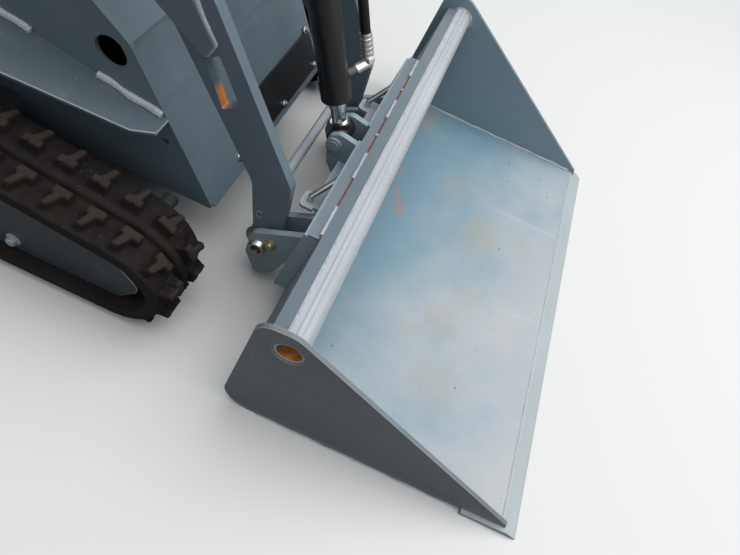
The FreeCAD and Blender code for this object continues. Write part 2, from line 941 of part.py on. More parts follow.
def idler():
    gap = 0.4
    radius = idler_z - lug_height - belt_thick - gap
    middle = track_centre_y
    rim = wheel(idler_x, idler_z, radius, middle - rim_half, middle + rim_half)
    ring_cut = wheel(idler_x, idler_z, radius - 16, middle + rim_web_half, middle + rim_half + 1)
    other_cut = wheel(idler_x, idler_z, radius - 16, middle - rim_half - 1, middle - rim_web_half)
    hub = wheel(idler_x, idler_z, 26, middle - hub_half, middle + hub_half)
    bore = wheel(idler_x, idler_z, axle_radius + pin_play, 200, 500)
    return joined([rim.cut(ring_cut).cut(other_cut), hub]).cut(bore)


def sprocket():
    gap = 0.4
    radius = sprocket_tip_radius - lug_height - belt_thick - gap
    teeth = 15
    points = []
    for i in range(teeth):
        start = 2 * math.pi * i / teeth
        for turn, reach in ((0.0, radius - 18), (0.28, radius - 18), (0.42, radius), (0.82, radius)):
            angle = start + turn * 2 * math.pi / teeth
            points.append((sprocket_x + reach * math.cos(angle), sprocket_z + reach * math.sin(angle)))
    ring = plate(points, track_centre_y - 16, track_centre_y + 16)
    hub = wheel(sprocket_x, sprocket_z, 62, wall_y, track_centre_y + 26)
    return joined([ring, hub])


def rollers():
    shapes = []
    low_z = roller_radius + belt_thick + lug_height
    stations = (-940.0, -1050.0, -1160.0, -1270.0, -1380.0)
    for x in stations + (rear_roller_x,):
        z = low_z
        outer = wheel(x, z, roller_radius - 0.4, track_centre_y + disc_near, track_centre_y + disc_far)
        inner = wheel(x, z, roller_radius - 0.4, track_centre_y - disc_far, track_centre_y - disc_near)
        axle = wheel(x, z, 16, frame_y, cover_y)
        shapes.append(joined([outer, inner, axle]))
    return shapes


def top_roller():
    # Carries the top run; its height follows the belt
    x = -1230.0
    top = [p for p in inner_pieces if p[0] == "line"][0]
    a, b = top[1], top[2]
    share = (x - a[0]) / (b[0] - a[0])
    surface = a[1] + share * (b[1] - a[1])
    radius = 30.0
    drop = (radius + 0.4) / math.sin(top[3])
    return wheel(x, surface - drop, radius, frame_y, track_centre_y + disc_far)


def track_frame():
    low_z = roller_radius + belt_thick + lug_height
    beam = plate([
        (-782, 96, 20),
        (-790, 144, 20),
        (-870, 180, 20),
        (-1180, 219, 30),
        (-1490, 262, 20),
        (-1530, 200, 20),
        (-1500, low_z + 24, 20),
        (-900, low_z + 24, 20),
    ], frame_y - 8, frame_y)
    return beam


def side_cover():
    outline = [
        (-753, 100, 26),
        (-790, 146, 20),
        (-860, 186, 40),
        (-1000, 198, 60),
        (-1300, 228, 60),
        (-1470, 268, 40),
        (-1520, 200, 40),
        (-1500, 52, 30),
        (-800, 48, 30),
    ]
    return plate(outline, cover_y, cover_y + 8)


def track_axles():
    # Bars carrying each track frame and its wheels from the chassis wall out to the cover
    shapes = []
    low_z = roller_radius + belt_thick + lug_height
    for x, z, radius in ((idler_x, idler_z, axle_radius), (-1100, 178, 24), (-1400, 190, 24)):
        shapes.append(cross_pin(x, z, wall_y, cover_y, radius))
    return shapes


# Hood: a lid hinged at its rear top edge, with a louvred front

def hood_outline():
    return [
        (hood_front_x + 14, deck_height(hood_front_x + 14) + hood_gap),
        (hood_front_x, hood_top_z - 60, 60),
        (hood_front_x - 150, hood_top_z, 90),
        (hood_rear_x, hood_top_z),
        (hood_rear_x, deck_rear_z + hood_gap),
    ]


def hood():
    shell = plate(hood_outline(), -hood_half, hood_half)
    hollow_points = [
        (hood_front_x + 14 - hood_sheet, deck_front_z - 30),
        (hood_front_x - hood_sheet, hood_top_z - 60 - hood_sheet, 56),
        (hood_front_x - 150, hood_top_z - hood_sheet, 86),
        (hood_rear_x - 10, hood_top_z - hood_sheet),
        (hood_rear_x - 10, deck_front_z - 30),
    ]
    hollow = plate(hollow_points, -hood_half + hood_sheet, hood_half - hood_sheet)
    shell = shell.cut(hollow)
    slots = []
    for i in range(8):
        x = -1180.0 - 34.0 * i
        for z0, z1 in ((640, 740), (770, 870)):
            slots.append(box(x - 8, x + 8, -hood_half - 5, hood_half + 5, z0, z1))
    for i in range(9):
        z = 620.0 + 30.0 * i
        slots.append(box(hood_front_x - 40, hood_front_x + 30, -88, 88, z, z + 14))
    shell = shell.cut(slots[0].fuse(slots[1:]))
    hinge_z = hood_top_z + hinge_knuckle_radius
    knuckles = []
    for side in (-1, 1):
        for step in (-17, 17):
            y = side * (hinge_half_gap + 55) + step
            ring = cross_pin(hinge_x, hinge_z, y - 9, y + 9, hinge_knuckle_radius)
            foot = box(hinge_x, hinge_x + 30, y - 9, y + 9, hood_top_z - 2, hood_top_z + 4)
            bore = cross_pin(hinge_x, hinge_z, y - 10, y + 10, hinge_pin_radius + pin_play)
            knuckles.append(ring.fuse(foot).cut(bore))
    return joined([shell] + knuckles)


def hood_hinges():
    # Pin and leaf at each side; the leaf stands on the console's front face
    hinge_z = hood_top_z + hinge_knuckle_radius
    shapes = []
    for side in (-1, 1):
        y = side * (hinge_half_gap + 55)
        pin = cross_pin(hinge_x, hinge_z, y - 30, y + 30, hinge_pin_radius)
        barrel = cross_pin(hinge_x, hinge_z, y - 7, y + 7, hinge_pin_radius + 2)
        leaf = box(console_front_x, hinge_x, y - 7, y + 7, hinge_z - 4, hinge_z + 4)
        shapes.append(joined([pin, barrel, leaf]))
    return shapes


def engine_block():
    return box(-1500, -1160, -115, 115, chassis_low_z + 10, chassis_low_z + 340)


console_half = 165.0


def rear_tank():
    # Hydraulic tank standing on the deck behind the hood, between the towers
    points = [
        (console_front_x, deck_rear_z),
        (console_front_x, 900),
        (-1700, 900),
        (-1700, deck_rear_z),
    ]
    return plate(points, -150, 150)


def console():
    # Sloping operator's panel over the tank
    points = [
        (console_front_x, 900.0),
        (console_front_x, 1010, 20),
        (-1640, 1060, 30),
        (-1780, 1010, 20),
        (-1780, 960, 10),
        (-1700, 900.0),
    ]
    return plate(points, -console_half, console_half)


def gauge_cluster():
    ux, uz = unit(-1640, 1060, -1780, 1010)
    nx, nz = -uz, ux
    base = (-1690, 1042.1)
    shapes = []
    for y, radius in ((-60.0, 26.0), (0.0, 20.0)):
        start = (base[0] + nx * 2, y, base[1] + nz * 2)
        end = (base[0] - nx * 9, y, base[1] - nz * 9)
        shapes.append(rod(start, end, radius).cut(console()))
    return shapes


def control_levers():
    shapes = []
    for y, height, radius in ((-120.0, 120.0, 8.0), (-80.0, 120.0, 8.0), (90.0, 110.0, 7.0), (130.0, 110.0, 7.0)):
        x = -1740.0
        z = 1016.0
        stem = rod((x, y, z), (x - 22, y, z + height), radius)
        knob = Part.makeCylinder(radius + 10, 26, vec(x - 23, y, z + height - 2))
        knob = knob.makeChamfer(5, [knob.Edges[0], knob.Edges[2]])
        boot = Part.makeCone(18, 10, 30, vec(x, y, z - 2), vec(-0.18, 0, 1))
        shapes.append(joined([stem, knob, boot]).cut(console()))
    return shapes


def handrail():
    # Bent bar in front of the levers for the operator to hold
    radius = 14
    y = console_half + radius + seat
    top = 1172.0
    pieces = []
    for side in (-1, 1):
        pieces.append(rod((-1700, side * y, 900), (-1700, side * y, top), radius))
        pieces.append(Part.makeSphere(radius, vec(-1700, side * y, top)))
    pieces.append(rod((-1700, -y, top), (-1700, y, top), radius))
    return joined(pieces)


def knee_pad():
    points = [
        (chassis_rear_x, 640, 10),
        (chassis_rear_x, 860, 16),
        (chassis_rear_x - 44, 860, 20),
        (chassis_rear_x - 44, 640, 20),
    ]
    return plate(points, -170, 170)


def operator_platform():
    # Tread plate on two arms, folding up about the pin behind the chassis
    rear = -overall_length
    tread = box(rear, -1920, -230, 230, 176, 182)
    shapes = [tread]
    for y in (-218, 206):
        arm = plate([
            (-1890 - 24, 196 + 20, 16),
            (-1890 + 24, 196 + 20, 16),
            (-1890 + 24, 196 - 24, 16),
            (-1930, 156, 10),
            (rear + 12, 156, 10),
            (rear + 12, 176.0),
            (-1940, 176.0),
        ], y, y + 12)
        arm = arm.cut(cross_pin(-1890, 196, y - 1, y + 13, 10 + pin_play))
        shapes.append(arm)
    shapes.append(box(rear, rear + 12, -230, 230, 182, 200))
    return joined(shapes)


def platform_brackets():
    points = [
        (chassis_rear_x, 262),
        (chassis_rear_x, 330),
        (-1890 - 22, 214, 18),
        (-1890 - 18, 172, 18),
        (-1862, 200),
    ]
    hole = cross_pin(-1890, 196, -300, 300, 10)
    plates = [plate(points, y, y + 8).cut(hole) for y in (-240, -204, 196, 232)]
    pins = [cross_pin(-1890, 196, -242, -196, 10), cross_pin(-1890, 196, 196, 242, 10)]
    return plates, pins


def work_lamps():
    shapes = []
    for side in (-1, 1):
        y = side * 128.0
        body = rod((hood_front_x + 38, y, 880), (hood_front_x - 4, y, 880), 30)
        shapes.append(body.cut(plate(hood_outline(), -hood_half, hood_half)))
    return shapes


def exhaust_tip():
    # Turned-down outlet on top of the hood
    pipe = rod((-1440, -96, hood_top_z), (-1440, -96, hood_top_z + 70), 24)
    bore = rod((-1440, -96, hood_top_z + 10), (-1440, -96, hood_top_z + 71), 21)
    return pipe.cut(bore)


def build():
    os.makedirs("parts", exist_ok=True)
    save("bucket_shell", bucket_shell())
    save("bucket_sides", both(bucket_side()))
    save("bucket_tube", bucket_tube())
    save("cutting_edge", cutting_edge())
    save("hook_strip", hook_strip())
    save("attach_plate", attach_plate())
    save("pivot_pins", pivot_pins())
    save("lock_levers", lock_levers())
    save("loader_arms", loader_arms())
    save("arm_pins", arm_pins())
    save("tilt_barrel", tilt_barrel())
    save("tilt_rod", tilt_rod())
    save("tilt_rod_end", tilt_rod_end())
    save("tilt_hose", tilt_hose())
    save("hose_fittings", hose_fittings())
    save("lift_barrel_left", lift_barrel(1))
    save("lift_barrel_right", lift_barrel(-1))
    save("lift_rod_left", lift_rod(1))
    save("lift_rod_right", lift_rod(-1))
    save("chassis", chassis())
    save("fenders", both(fender()))
    tower, back = rear_towers()
    towers = [back]
    for one in tower:
        towers.extend(both(one))
    save("rear_towers", towers)
    save("tower_pins", tower_pins())
    save("front_cover", front_cover())
    save("hood", hood())
    save("hood_hinges", hood_hinges())
    save("engine_block", engine_block())
    save("rear_tank", rear_tank())
    save("console", console())
    save("gauges", gauge_cluster())
    save("control_levers", control_levers())
    save("handrail", handrail())
    save("knee_pad", knee_pad())
    save("operator_platform", operator_platform())
    brackets, pins = platform_brackets()
    save("platform_brackets", brackets)
    save("platform_pins", pins)
    save("work_lamps", work_lamps())
    save("exhaust_tip", exhaust_tip())
    track = track_loop()
    save("track_left", track)
    save("track_right", mirrored(track))
    save("idlers", both(idler()))
    save("sprockets", both(sprocket()))
    wheels = []
    for one in rollers() + [top_roller()]:
        wheels.extend(both(one))
    save("track_rollers", wheels)
    frame = joined([track_frame()] + track_axles())
    save("track_frames", both(frame))
    save("side_covers", both(side_cover()))


build()
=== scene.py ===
import bpy
import bmesh
import json
import math
import numpy as np
from mathutils import Matrix, Vector


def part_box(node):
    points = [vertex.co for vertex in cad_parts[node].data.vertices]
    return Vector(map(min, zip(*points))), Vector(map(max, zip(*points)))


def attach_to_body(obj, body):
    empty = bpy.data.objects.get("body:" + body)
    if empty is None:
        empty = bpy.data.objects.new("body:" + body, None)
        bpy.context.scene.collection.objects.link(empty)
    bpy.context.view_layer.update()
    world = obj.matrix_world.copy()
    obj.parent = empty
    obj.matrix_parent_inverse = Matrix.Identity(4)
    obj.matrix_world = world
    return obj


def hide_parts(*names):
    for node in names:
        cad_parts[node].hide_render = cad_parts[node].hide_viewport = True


# Finish of a compact stand-on track loader with a digging bucket: metres, X forward, Z up
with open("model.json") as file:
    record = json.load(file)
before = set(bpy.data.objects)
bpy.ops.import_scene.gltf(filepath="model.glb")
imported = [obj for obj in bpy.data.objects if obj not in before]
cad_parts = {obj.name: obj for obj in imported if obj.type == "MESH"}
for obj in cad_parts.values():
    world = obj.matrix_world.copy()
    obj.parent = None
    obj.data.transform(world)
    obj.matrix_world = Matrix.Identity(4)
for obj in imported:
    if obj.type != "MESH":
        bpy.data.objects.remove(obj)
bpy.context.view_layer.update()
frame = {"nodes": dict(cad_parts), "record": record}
nodes = frame["nodes"]
owner = {n: b for b, group in frame["record"]["behaviour"]["bodies"].items() for n in group}
slotOf = {p["node"]: p["material_slot"] for p in frame["record"]["subparts"]}
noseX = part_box("cutting_edge")[1].x  # the cutting edge is the machine's front end
print("frame loaded:", len(nodes), "nodes")


def at(x, y, z):
    # A point given in mm back from the cutting edge, in the frame's metres
    return np.array([noseX + x / 1000, y / 1000, z / 1000])


# Camera: it stands ahead of the right track, looks down over the bucket and leans to one side

view = {
    "stand": (-461.2, -828.8, 961.9),
    "turn": 86.56,
    "dip": 53.71,
    "lean": 28.62,
    "focalPixels": 564.2,
    "widthPixels": 740,
    "sensor": 36.0,
}


def makeCamera():
    turn, dip, lean = (math.radians(view[k]) for k in ("turn", "dip", "lean"))
    forward = Vector((math.cos(dip) * math.cos(turn), math.cos(dip) * math.sin(turn), -math.sin(dip)))
    side = forward.cross(Vector((0, 0, 1))).normalized()
    up = side.cross(forward)
    right = side * math.cos(lean) + up * math.sin(lean)
    top = right.cross(forward)
    data = bpy.data.cameras.new("viewCamera")
    data.sensor_width = view["sensor"]
    data.lens = view["focalPixels"] / view["widthPixels"] * view["sensor"]
    data.clip_start = 0.02
    cam = bpy.data.objects.new("viewCamera", data)
    bpy.context.scene.collection.objects.link(cam)
    turned = Matrix((right, top, -forward)).transposed().to_4x4()
    cam.matrix_world = Matrix.Translation(Vector(at(*view["stand"]))) @ turned
    bpy.context.scene.camera = cam


makeCamera()

# Shader writing: an expression on these values adds its Math nodes


class Value:
    def __init__(self, finish, socket):
        self.finish = finish
        self.socket = socket

    def calc(self, operation, a, b=0.0):
        return self.finish.add("ShaderNodeMath", {"operation": operation}, {0: a, 1: b})

    def __add__(self, other):
        return self.calc("ADD", self, other)

    __radd__ = __add__

    def __sub__(self, other):
        return self.calc("SUBTRACT", self, other)

    def __rsub__(self, other):
        return self.calc("SUBTRACT", other, self)

    def __mul__(self, other):
        return self.calc("MULTIPLY", self, other)

    __rmul__ = __mul__

    def __truediv__(self, other):
        return self.calc("DIVIDE", self, other)

    def __pow__(self, other):
        return self.calc("POWER", self, other)

    def __abs__(self):
        return self.calc("ABSOLUTE", self)

    def least(self, other):
        return self.calc("MINIMUM", self, other)

    def most(self, other):
        return self.calc("MAXIMUM", self, other)

    def ramp(self, low, high):
        # 0 at low, 1 at high, smooth between them; low may be the greater
        if low > high:
            return 1.0 - self.ramp(high, low)
        settings = {"interpolation_type": "SMOOTHSTEP"}
        return self.finish.add("ShaderNodeMapRange", settings, {0: self, 1: low, 2: high, 3: 0.0, 4: 1.0})


class Finish:
    def __init__(self, name):
        self.material = bpy.data.materials.new(name)
        self.material.use_nodes = True
        self.tree = self.material.node_tree
        self.shader = self.tree.nodes["Principled BSDF"]
        self.place = self.add("ShaderNodeTexCoord", {}, {}, "Object")

    def link(self, value, socket):
        if isinstance(value, Value):
            self.tree.links.new(value.socket, socket)
        elif hasattr(socket.default_value, "__len__") and len(socket.default_value) == 4 and len(value) == 3:
            socket.default_value = (*value, 1)
        else:
            socket.default_value = value

    def add(self, kind, settings, inputs, out=0):
        made = self.tree.nodes.new(kind)
        for key, setting in settings.items():
            setattr(made, key, setting)
        for key, value in inputs.items():
            self.link(value, made.inputs[key])
        return Value(self, made.outputs[out])

    def noise(self, scale, detail=4.0, rough=0.55, stretch=(1, 1, 1), turn=(0, 0, 0)):
        spot = self.add("ShaderNodeMapping", {}, {"Vector": self.place, "Scale": stretch, "Rotation": turn})
        sockets = {"Vector": spot, "Scale": scale, "Detail": detail, "Roughness": rough}
        return self.add("ShaderNodeTexNoise", {}, sockets, "Fac")

    def specks(self, scale, size):
        # Small dots scattered at the cell points of a cell pattern
        sockets = {"Vector": self.place, "Scale": scale, "Randomness": 1.0}
        return self.add("ShaderNodeTexVoronoi", {}, sockets, "Distance").ramp(size, size * 0.4)

    def part(self, axis):
        # A coordinate of the point in mm, measured as in the part's source: back from the cutting edge
        raw = self.add("ShaderNodeSeparateXYZ", {}, {0: self.place}, axis)
        return (raw - noseX) * 1000 if axis == 0 else raw * 1000

    def near(self, spot, reach, soft, wobble=None):
        # 1 inside an ellipsoid round a spot given in mm, 0 outside; wobble shifts its edge
        total = None
        for axis, (middle, half) in enumerate(zip(spot, reach)):
            if half is not None:
                term = ((self.part(axis) - middle) / half) ** 2.0
                total = term if total is None else total + term
        distance = total ** 0.5
        if wobble is not None:
            distance = distance + wobble
        return distance.ramp(1 + soft, 1 - soft)

    def mix(self, share, a, b):
        return self.add("ShaderNodeMix", {"data_type": "RGBA"}, {"Factor": share, 6: a, 7: b}, 2)

    def bump(self, height, strength, distance, normal=None):
        sockets = {"Height": height, "Strength": strength, "Distance": distance}
        if normal is not None:
            sockets["Normal"] = normal
        return self.add("ShaderNodeBump", {}, sockets)

    def set(self, **sockets):
        for key, value in sockets.items():
            self.link(value, self.shader.inputs[key.replace("_", " ")])
        return self.material


tones = {
    "slate": (0.115, 0.16, 0.188),
    "floorBlue": (0.152, 0.262, 0.33),
    "floorPale": (0.385, 0.405, 0.415),
    "sidePlate": (0.128, 0.15, 0.165),
    "weld": (0.42, 0.46, 0.48),
    "edge": (0.3, 0.35, 0.375),
    "dust": (0.36, 0.355, 0.33),
    "rustDeep": (0.13, 0.035, 0.012),
    "stain": (0.34, 0.29, 0.2),
    "black": (0.010, 0.010, 0.011),
}


def paintFinish(name, tone, wear=0.0, dust=0.3, gloss=0.36, marks=None):
    # Satin paint: cloudy tone, dust film, fine orange peel and small chips; marks adds local stains, wear
    # and, on the side plates, painted light
    f = Finish(name)
    cloud = f.noise(3.2, 5.0).ramp(0.38, 0.72)
    grain = f.noise(140.0, 2.0)
    film = f.noise(34.0, 6.0, 0.65).ramp(0.52, 0.8)
    deep = tuple(c * 0.86 for c in tone)
    dusty = tuple(0.62 * c + 0.38 * d for c, d in zip(tone, tones["dust"]))
    colour = f.mix(cloud, deep, tone)
    colour = f.mix(film * dust, colour, dusty)
    scuff = f.noise(60.0, 3.0, 0.7, (1, 1, 0.25)).ramp(0.68 - wear * 0.3, 0.76 - wear * 0.2)
    colour = f.mix(scuff * (0.2 + wear * 0.7), colour, (0.42, 0.45, 0.45))
    rough = gloss + 0.14 * cloud + 0.1 * film
    if marks:
        colour, rough = marks(f, colour, rough)
    normal = f.bump(grain, 0.1, 0.0006)
    return f.set(Base_Color=colour, Roughness=rough, Normal=normal, Coat_Weight=0.12, Coat_Roughness=0.3)


def floorFinish():
    # Bucket floor: faded blue towards the tube, paler and greyer towards the edge and the right side,
    # with rubbed patches, earth stains, fine scratches and dirt specks. Its tones are lighter than the
    # slate paint, partly from dust and fading and partly as a painted reflection of the sky
    f = Finish("bucketFloorPaint")
    back = f.part(0)
    left = f.part(1)
    slow = f.noise(3.4, 5.0, 0.6)
    patch = f.noise(8.5, 6.0, 0.62)
    share = (back + 470.0) / 430.0 * 0.62 - left / 1000.0 * 0.42 + slow * 1.5 - 0.62
    colour = f.mix(share.ramp(0.0, 1.0), tones["floorBlue"], tones["floorPale"])
    # The sheet behind the floor keeps the plain paint, without the floor's painted sky reflection
    high = f.part(2).ramp(40.0, 150.0)  # the sheet behind the floor keeps its darker paint
    colour = f.mix(high, colour, (0.155, 0.2, 0.228))
    # A pale band beside the tube's weld, with a ragged border: a painted highlight that carries the tube's
    # sky highlight over the sheet
    border = back + 500.5 + (f.noise(90.0, 3.0, 0.6, (0.3, 1, 0.3)) - 0.5) * 5.0
    ground = border.ramp(0.0, 0.8) * f.part(2).ramp(275.0, 276.0)
    colour = f.mix(ground, colour, (0.5, 0.53, 0.55))
    film = patch.ramp(0.5, 0.78) * share.ramp(0.15, 0.8)
    colour = f.mix(film * 0.3, colour, (0.44, 0.45, 0.43))
    ragged = (f.noise(26.0, 6.0, 0.75) - 0.5) * 4.2
    for x, y, wide, deep, strength in (
        (-226, 107, 42, 60, 0.5), (-249, -158, 36, 34, 0.4), (-322, 236, 30, 40, 0.3),
        (-222, -305, 40, 50, 0.28), (-213, -77, 24, 30, 0.3), (-121, 132, 30, 34, 0.22),
        (-453, 440, 30, 36, 0.6), (-300, -207, 26, 18, 0.22),
    ):
        stain = f.near((x, y, 0), (wide, deep, None), 0.8, ragged) * (0.4 + 0.9 * f.noise(60.0, 5.0, 0.7))
        colour = f.mix(stain * strength, colour, tones["stain"])
    for x, y, wide, deep in ((-444, 122, 8, 26), (-424, 88, 9, 15), (-474, 205, 12, 36)):
        rusty = f.near((x, y, 0), (wide, deep, None), 0.6, ragged * 1.3)
        colour = f.mix(rusty * 0.5, colour, (0.34, 0.21, 0.14))
    scratch = f.noise(26.0, 3.0, 0.6, (1, 0.04, 1), (0, 0, 0.5)).ramp(0.66, 0.7)
    cross = f.noise(22.0, 3.0, 0.6, (0.05, 1, 1), (0, 0, 0.25)).ramp(0.67, 0.71)
    colour = f.mix((scratch + cross).least(1.0) * 0.25, colour, (0.46, 0.5, 0.52))
    # Rusty freckles in clusters, two sizes of dark grit
    cluster = f.noise(9.0, 3.0, 0.6, (1, 1, 1), (0, 0, 1.1)).ramp(0.52, 0.66)
    freckle = f.noise(85.0, 4.0, 0.7).ramp(0.6, 0.68) * cluster
    colour = f.mix(freckle * 0.5, colour, (0.36, 0.26, 0.17))
    grit = f.specks(30.0, 0.1) * f.noise(14.0, 2.0).ramp(0.5, 0.55)
    grit = (grit + f.specks(75.0, 0.12) * f.noise(20.0, 2.0).ramp(0.56, 0.62)).least(1.0)
    colour = f.mix(grit * 0.8, colour, (0.07, 0.06, 0.045))
    rough = 0.42 + 0.2 * film + 0.12 * slow
    normal = f.bump(f.noise(140.0, 2.0), 0.08, 0.0006)
    return f.set(Base_Color=colour, Roughness=rough, Normal=normal, Coat_Weight=0.1, Coat_Roughness=0.35)


def sideMarks(f, colour, rough):
    # Lighter and bluer on the inner faces, as painted light for the sky falling into the bucket; long brushed
    # streaks, and earth rubbed over the lower edge of the side plates
    inner = abs(f.part(1)).ramp(485.5, 484.5)
    colour = f.mix(inner, colour, (0.205, 0.285, 0.33))
    streak = f.noise(9.0, 4.0, 0.6, (0.25, 1, 3)).ramp(0.4, 0.8)
    colour = f.mix(streak * 0.22, colour, (0.2, 0.22, 0.23))
    low = f.part(2).ramp(26.0, 4.0)
    return f.mix(low * 0.35, colour, (0.3, 0.3, 0.28)), rough


def tubeMarks(f, colour, rough):
    # The tube's bore is bare and rusty
    away = ((f.part(0) + 488.0) ** 2.0 + (f.part(2) - 262.0) ** 2.0) ** 0.5
    bore = away.ramp(20.5, 19.6)
    rust = f.mix(f.noise(60.0, 5.0).ramp(0.35, 0.65), tones["rustDeep"], (0.62, 0.24, 0.05))
    return f.mix(bore, colour, rust), rough + 0.4 * bore


def armMarks(f, colour, rough):
    # Rust on the walls of the slot in each leg, at its lower end; the lower tube is bare and pale
    across = abs(f.part(1) + 25.0)
    inside = across.ramp(184.6, 185.6) * across.ramp(203.4, 202.4)
    spot = f.near((-741, 0, 374), (12, None, 22), 0.4, (f.noise(50.0, 4.0) - 0.5) * 1.2)
    colour = f.mix(spot * inside, colour, (0.62, 0.22, 0.04))
    tube = f.near((-650, 0, 161), (11, None, 11), 0.02) * across.ramp(184.0, 183.0)
    return f.mix(tube, colour, (0.34, 0.38, 0.41)), rough


def plateMarks(f, colour, rough):
    # The shelf's top and its tabs are rubbed pale
    shelf = f.near((-600, 0, 204.2), (32, None, 1.6), 0.2)
    return f.mix(shelf * 0.8, colour, (0.33, 0.36, 0.38)), rough


def rodEndMarks(f, colour):
    # The eye at the rod's end is painted black, the rod behind it is chromed
    return f.near((-590, 0, 238), (29, None, 29), 0.05)


def metalFinish(name, tone, rough, scratch=40.0, dirt=0.3, black=None):
    f = Finish(name)
    lines = f.noise(scratch, 4.0, 0.7, (1, 6, 1))
    grime = f.noise(9.0, 5.0).ramp(0.5, 0.8)
    colour = f.mix(grime * dirt, tone, tuple(c * 0.35 for c in tone))
    normal = f.bump(lines, 0.08, 0.0004)
    roughness = rough + 0.25 * grime * dirt + 0.08 * lines
    if black is None:
        return f.set(Base_Color=colour, Metallic=1.0, Roughness=roughness, Normal=normal)
    share = black(f, colour)
    colour = f.mix(share, colour, (0.012, 0.011, 0.011))
    return f.set(Base_Color=colour, Metallic=1.0 - share, Roughness=roughness + 0.2 * share, Normal=normal)


def softFinish(name, tone, rough=0.6, grainScale=300.0, depth=0.0004, dust=0.2):
    # Moulded plastic, rubber and coated sheet
    f = Finish(name)
    grain = f.noise(grainScale, 3.0)
    film = f.noise(6.0, 5.0).ramp(0.45, 0.8)
    colour = f.mix(film * dust, tone, (0.22, 0.2, 0.18))
    normal = f.bump(grain, 0.25, depth)
    return f.set(Base_Color=colour, Roughness=rough + 0.15 * film, Normal=normal, Specular_IOR_Level=0.3)


def trackFinish():
    # Dusty rubber: brown dust on the lug tops and on the belt, dark in the walls; "raised" is the
    # share of a point's full lug height
    f = Finish("trackRubber")
    raised = f.add("ShaderNodeAttribute", {"attribute_name": "raised"}, {}, "Fac")
    wall = raised * (1.0 - raised) * 4.0
    patch = f.noise(14.0, 6.0, 0.65).ramp(0.35, 0.75)
    speck = f.noise(120.0, 4.0, 0.7)
    colour = f.mix(patch * 0.6, (0.011, 0.009, 0.0085), (0.026, 0.0205, 0.0175))
    colour = f.mix(raised.ramp(0.7, 1.0) * (0.35 + 0.5 * speck), colour, (0.042, 0.034, 0.029))
    colour = f.mix(wall.ramp(0.4, 1.0) * 0.45, colour, (0.007, 0.006, 0.006))
    colour = f.mix(f.specks(70.0, 0.12) * 0.4, colour, (0.12, 0.1, 0.09))
    normal = f.bump(speck, 0.5, 0.0012, f.bump(f.noise(35.0, 4.0), 0.35, 0.003))
    return f.set(Base_Color=colour, Roughness=0.68 + 0.2 * patch, Normal=normal, Specular_IOR_Level=0.12)


finishes = {
    "paint": paintFinish("slatePaint", tones["slate"]),
    "worn_paint": paintFinish("wornSlatePaint", (0.36, 0.41, 0.42), 0.15, 0.4, 0.45),
    "black_paint": paintFinish("blackPaint", tones["black"], -0.4, 0.03, 0.28),
    "zinc": metalFinish("platedSteel", (0.58, 0.57, 0.54), 0.3),
    "chrome": metalFinish("chromedRod", (0.78, 0.79, 0.8), 0.08, 80.0, 0.05, rodEndMarks),
    "casting": metalFinish("darkCasting", (0.09, 0.09, 0.09), 0.6, 20.0),
    "black_plastic": softFinish("blackPlastic", (0.016, 0.016, 0.016), 0.42),
    "hose": softFinish("hoseRubber", (0.008, 0.008, 0.008), 0.3, 260.0, 0.0003, 0.04),
    "pad": softFinish("padCover", (0.022, 0.022, 0.023), 0.5, 420.0, 0.0006, 0.1),
    "lamp": softFinish("clearLamp", (0.7, 0.72, 0.74), 0.12, 60.0, 0.0001, 0.05),
    "track_rubber": trackFinish(),
}
ownFinish = {
    "bucket_shell": floorFinish(),
    "bucket_sides": paintFinish("sidePlatePaint", tones["sidePlate"], 0.0, 0.3, 0.4, sideMarks),
    # The tube's tone is far paler than the slate paint: a painted highlight for the sky its top reflects
    "bucket_tube": paintFinish("tubePaintWithPaintedHighlight", (0.42, 0.45, 0.475), 0.0, 0.3, 0.24, tubeMarks),
    "hook_strip": paintFinish("stripPaint", (0.13, 0.17, 0.2), 0.1, 0.3, 0.3),
    "loader_arms": paintFinish("armPaint", (0.115, 0.16, 0.192), 0.0, 0.3, 0.34, armMarks),
    "attach_plate": paintFinish("attachPlatePaint", (0.235, 0.305, 0.34), 0.0, 0.3, 0.34, plateMarks),
    "fenders": paintFinish("fenderPaint", (0.085, 0.115, 0.135), 0.0, 0.45, 0.4),
    # The side covers' tone is a much darker copy of the slate paint: painted shade for the shadow over them
    "side_covers": paintFinish("sideCoverPaintedShade", (0.036, 0.048, 0.056), 0.0, 0.25, 0.4),
    "track_frames": paintFinish("framePaint", (0.045, 0.056, 0.064), 0.0, 0.4, 0.45),
}
edgeFinish = paintFinish("paintedEdge", tones["edge"], 0.2)
weldFinish = paintFinish("paintedWeld", tones["weld"], 0.1, 0.5, 0.4)
rustFinish = softFinish("rustSeam", (0.2, 0.07, 0.03), 0.8, 400.0, 0.0006, 0.3)
yellowZinc = metalFinish("yellowZinc", (0.5, 0.44, 0.25), 0.4)
print("finishes ready")

# Mesh making: each new shape is a grid of points, in mm back from the cutting edge


def gridShape(spots, closedRows=False, closedColumns=True, capped=True):
    # Quads join the neighbours of a grid (rows, columns, 3); caps close its first and last rows
    rows, columns = spots.shape[:2]
    row = np.arange(rows if closedRows else rows - 1)[:, None]
    column = np.arange(columns if closedColumns else columns - 1)[None, :]
    row, column = np.broadcast_arrays(row, column)
    rowAfter, columnAfter = (row + 1) % rows, (column + 1) % columns
    corners = (row, column), (row, columnAfter), (rowAfter, columnAfter), (rowAfter, column)
    quads = np.stack([r * columns + c for r, c in corners], -1).reshape(-1, 4)
    caps = [np.arange(columns)[::-1], np.arange(columns) + (rows - 1) * columns] if capped else []
    return spots.reshape(-1, 3), quads, caps


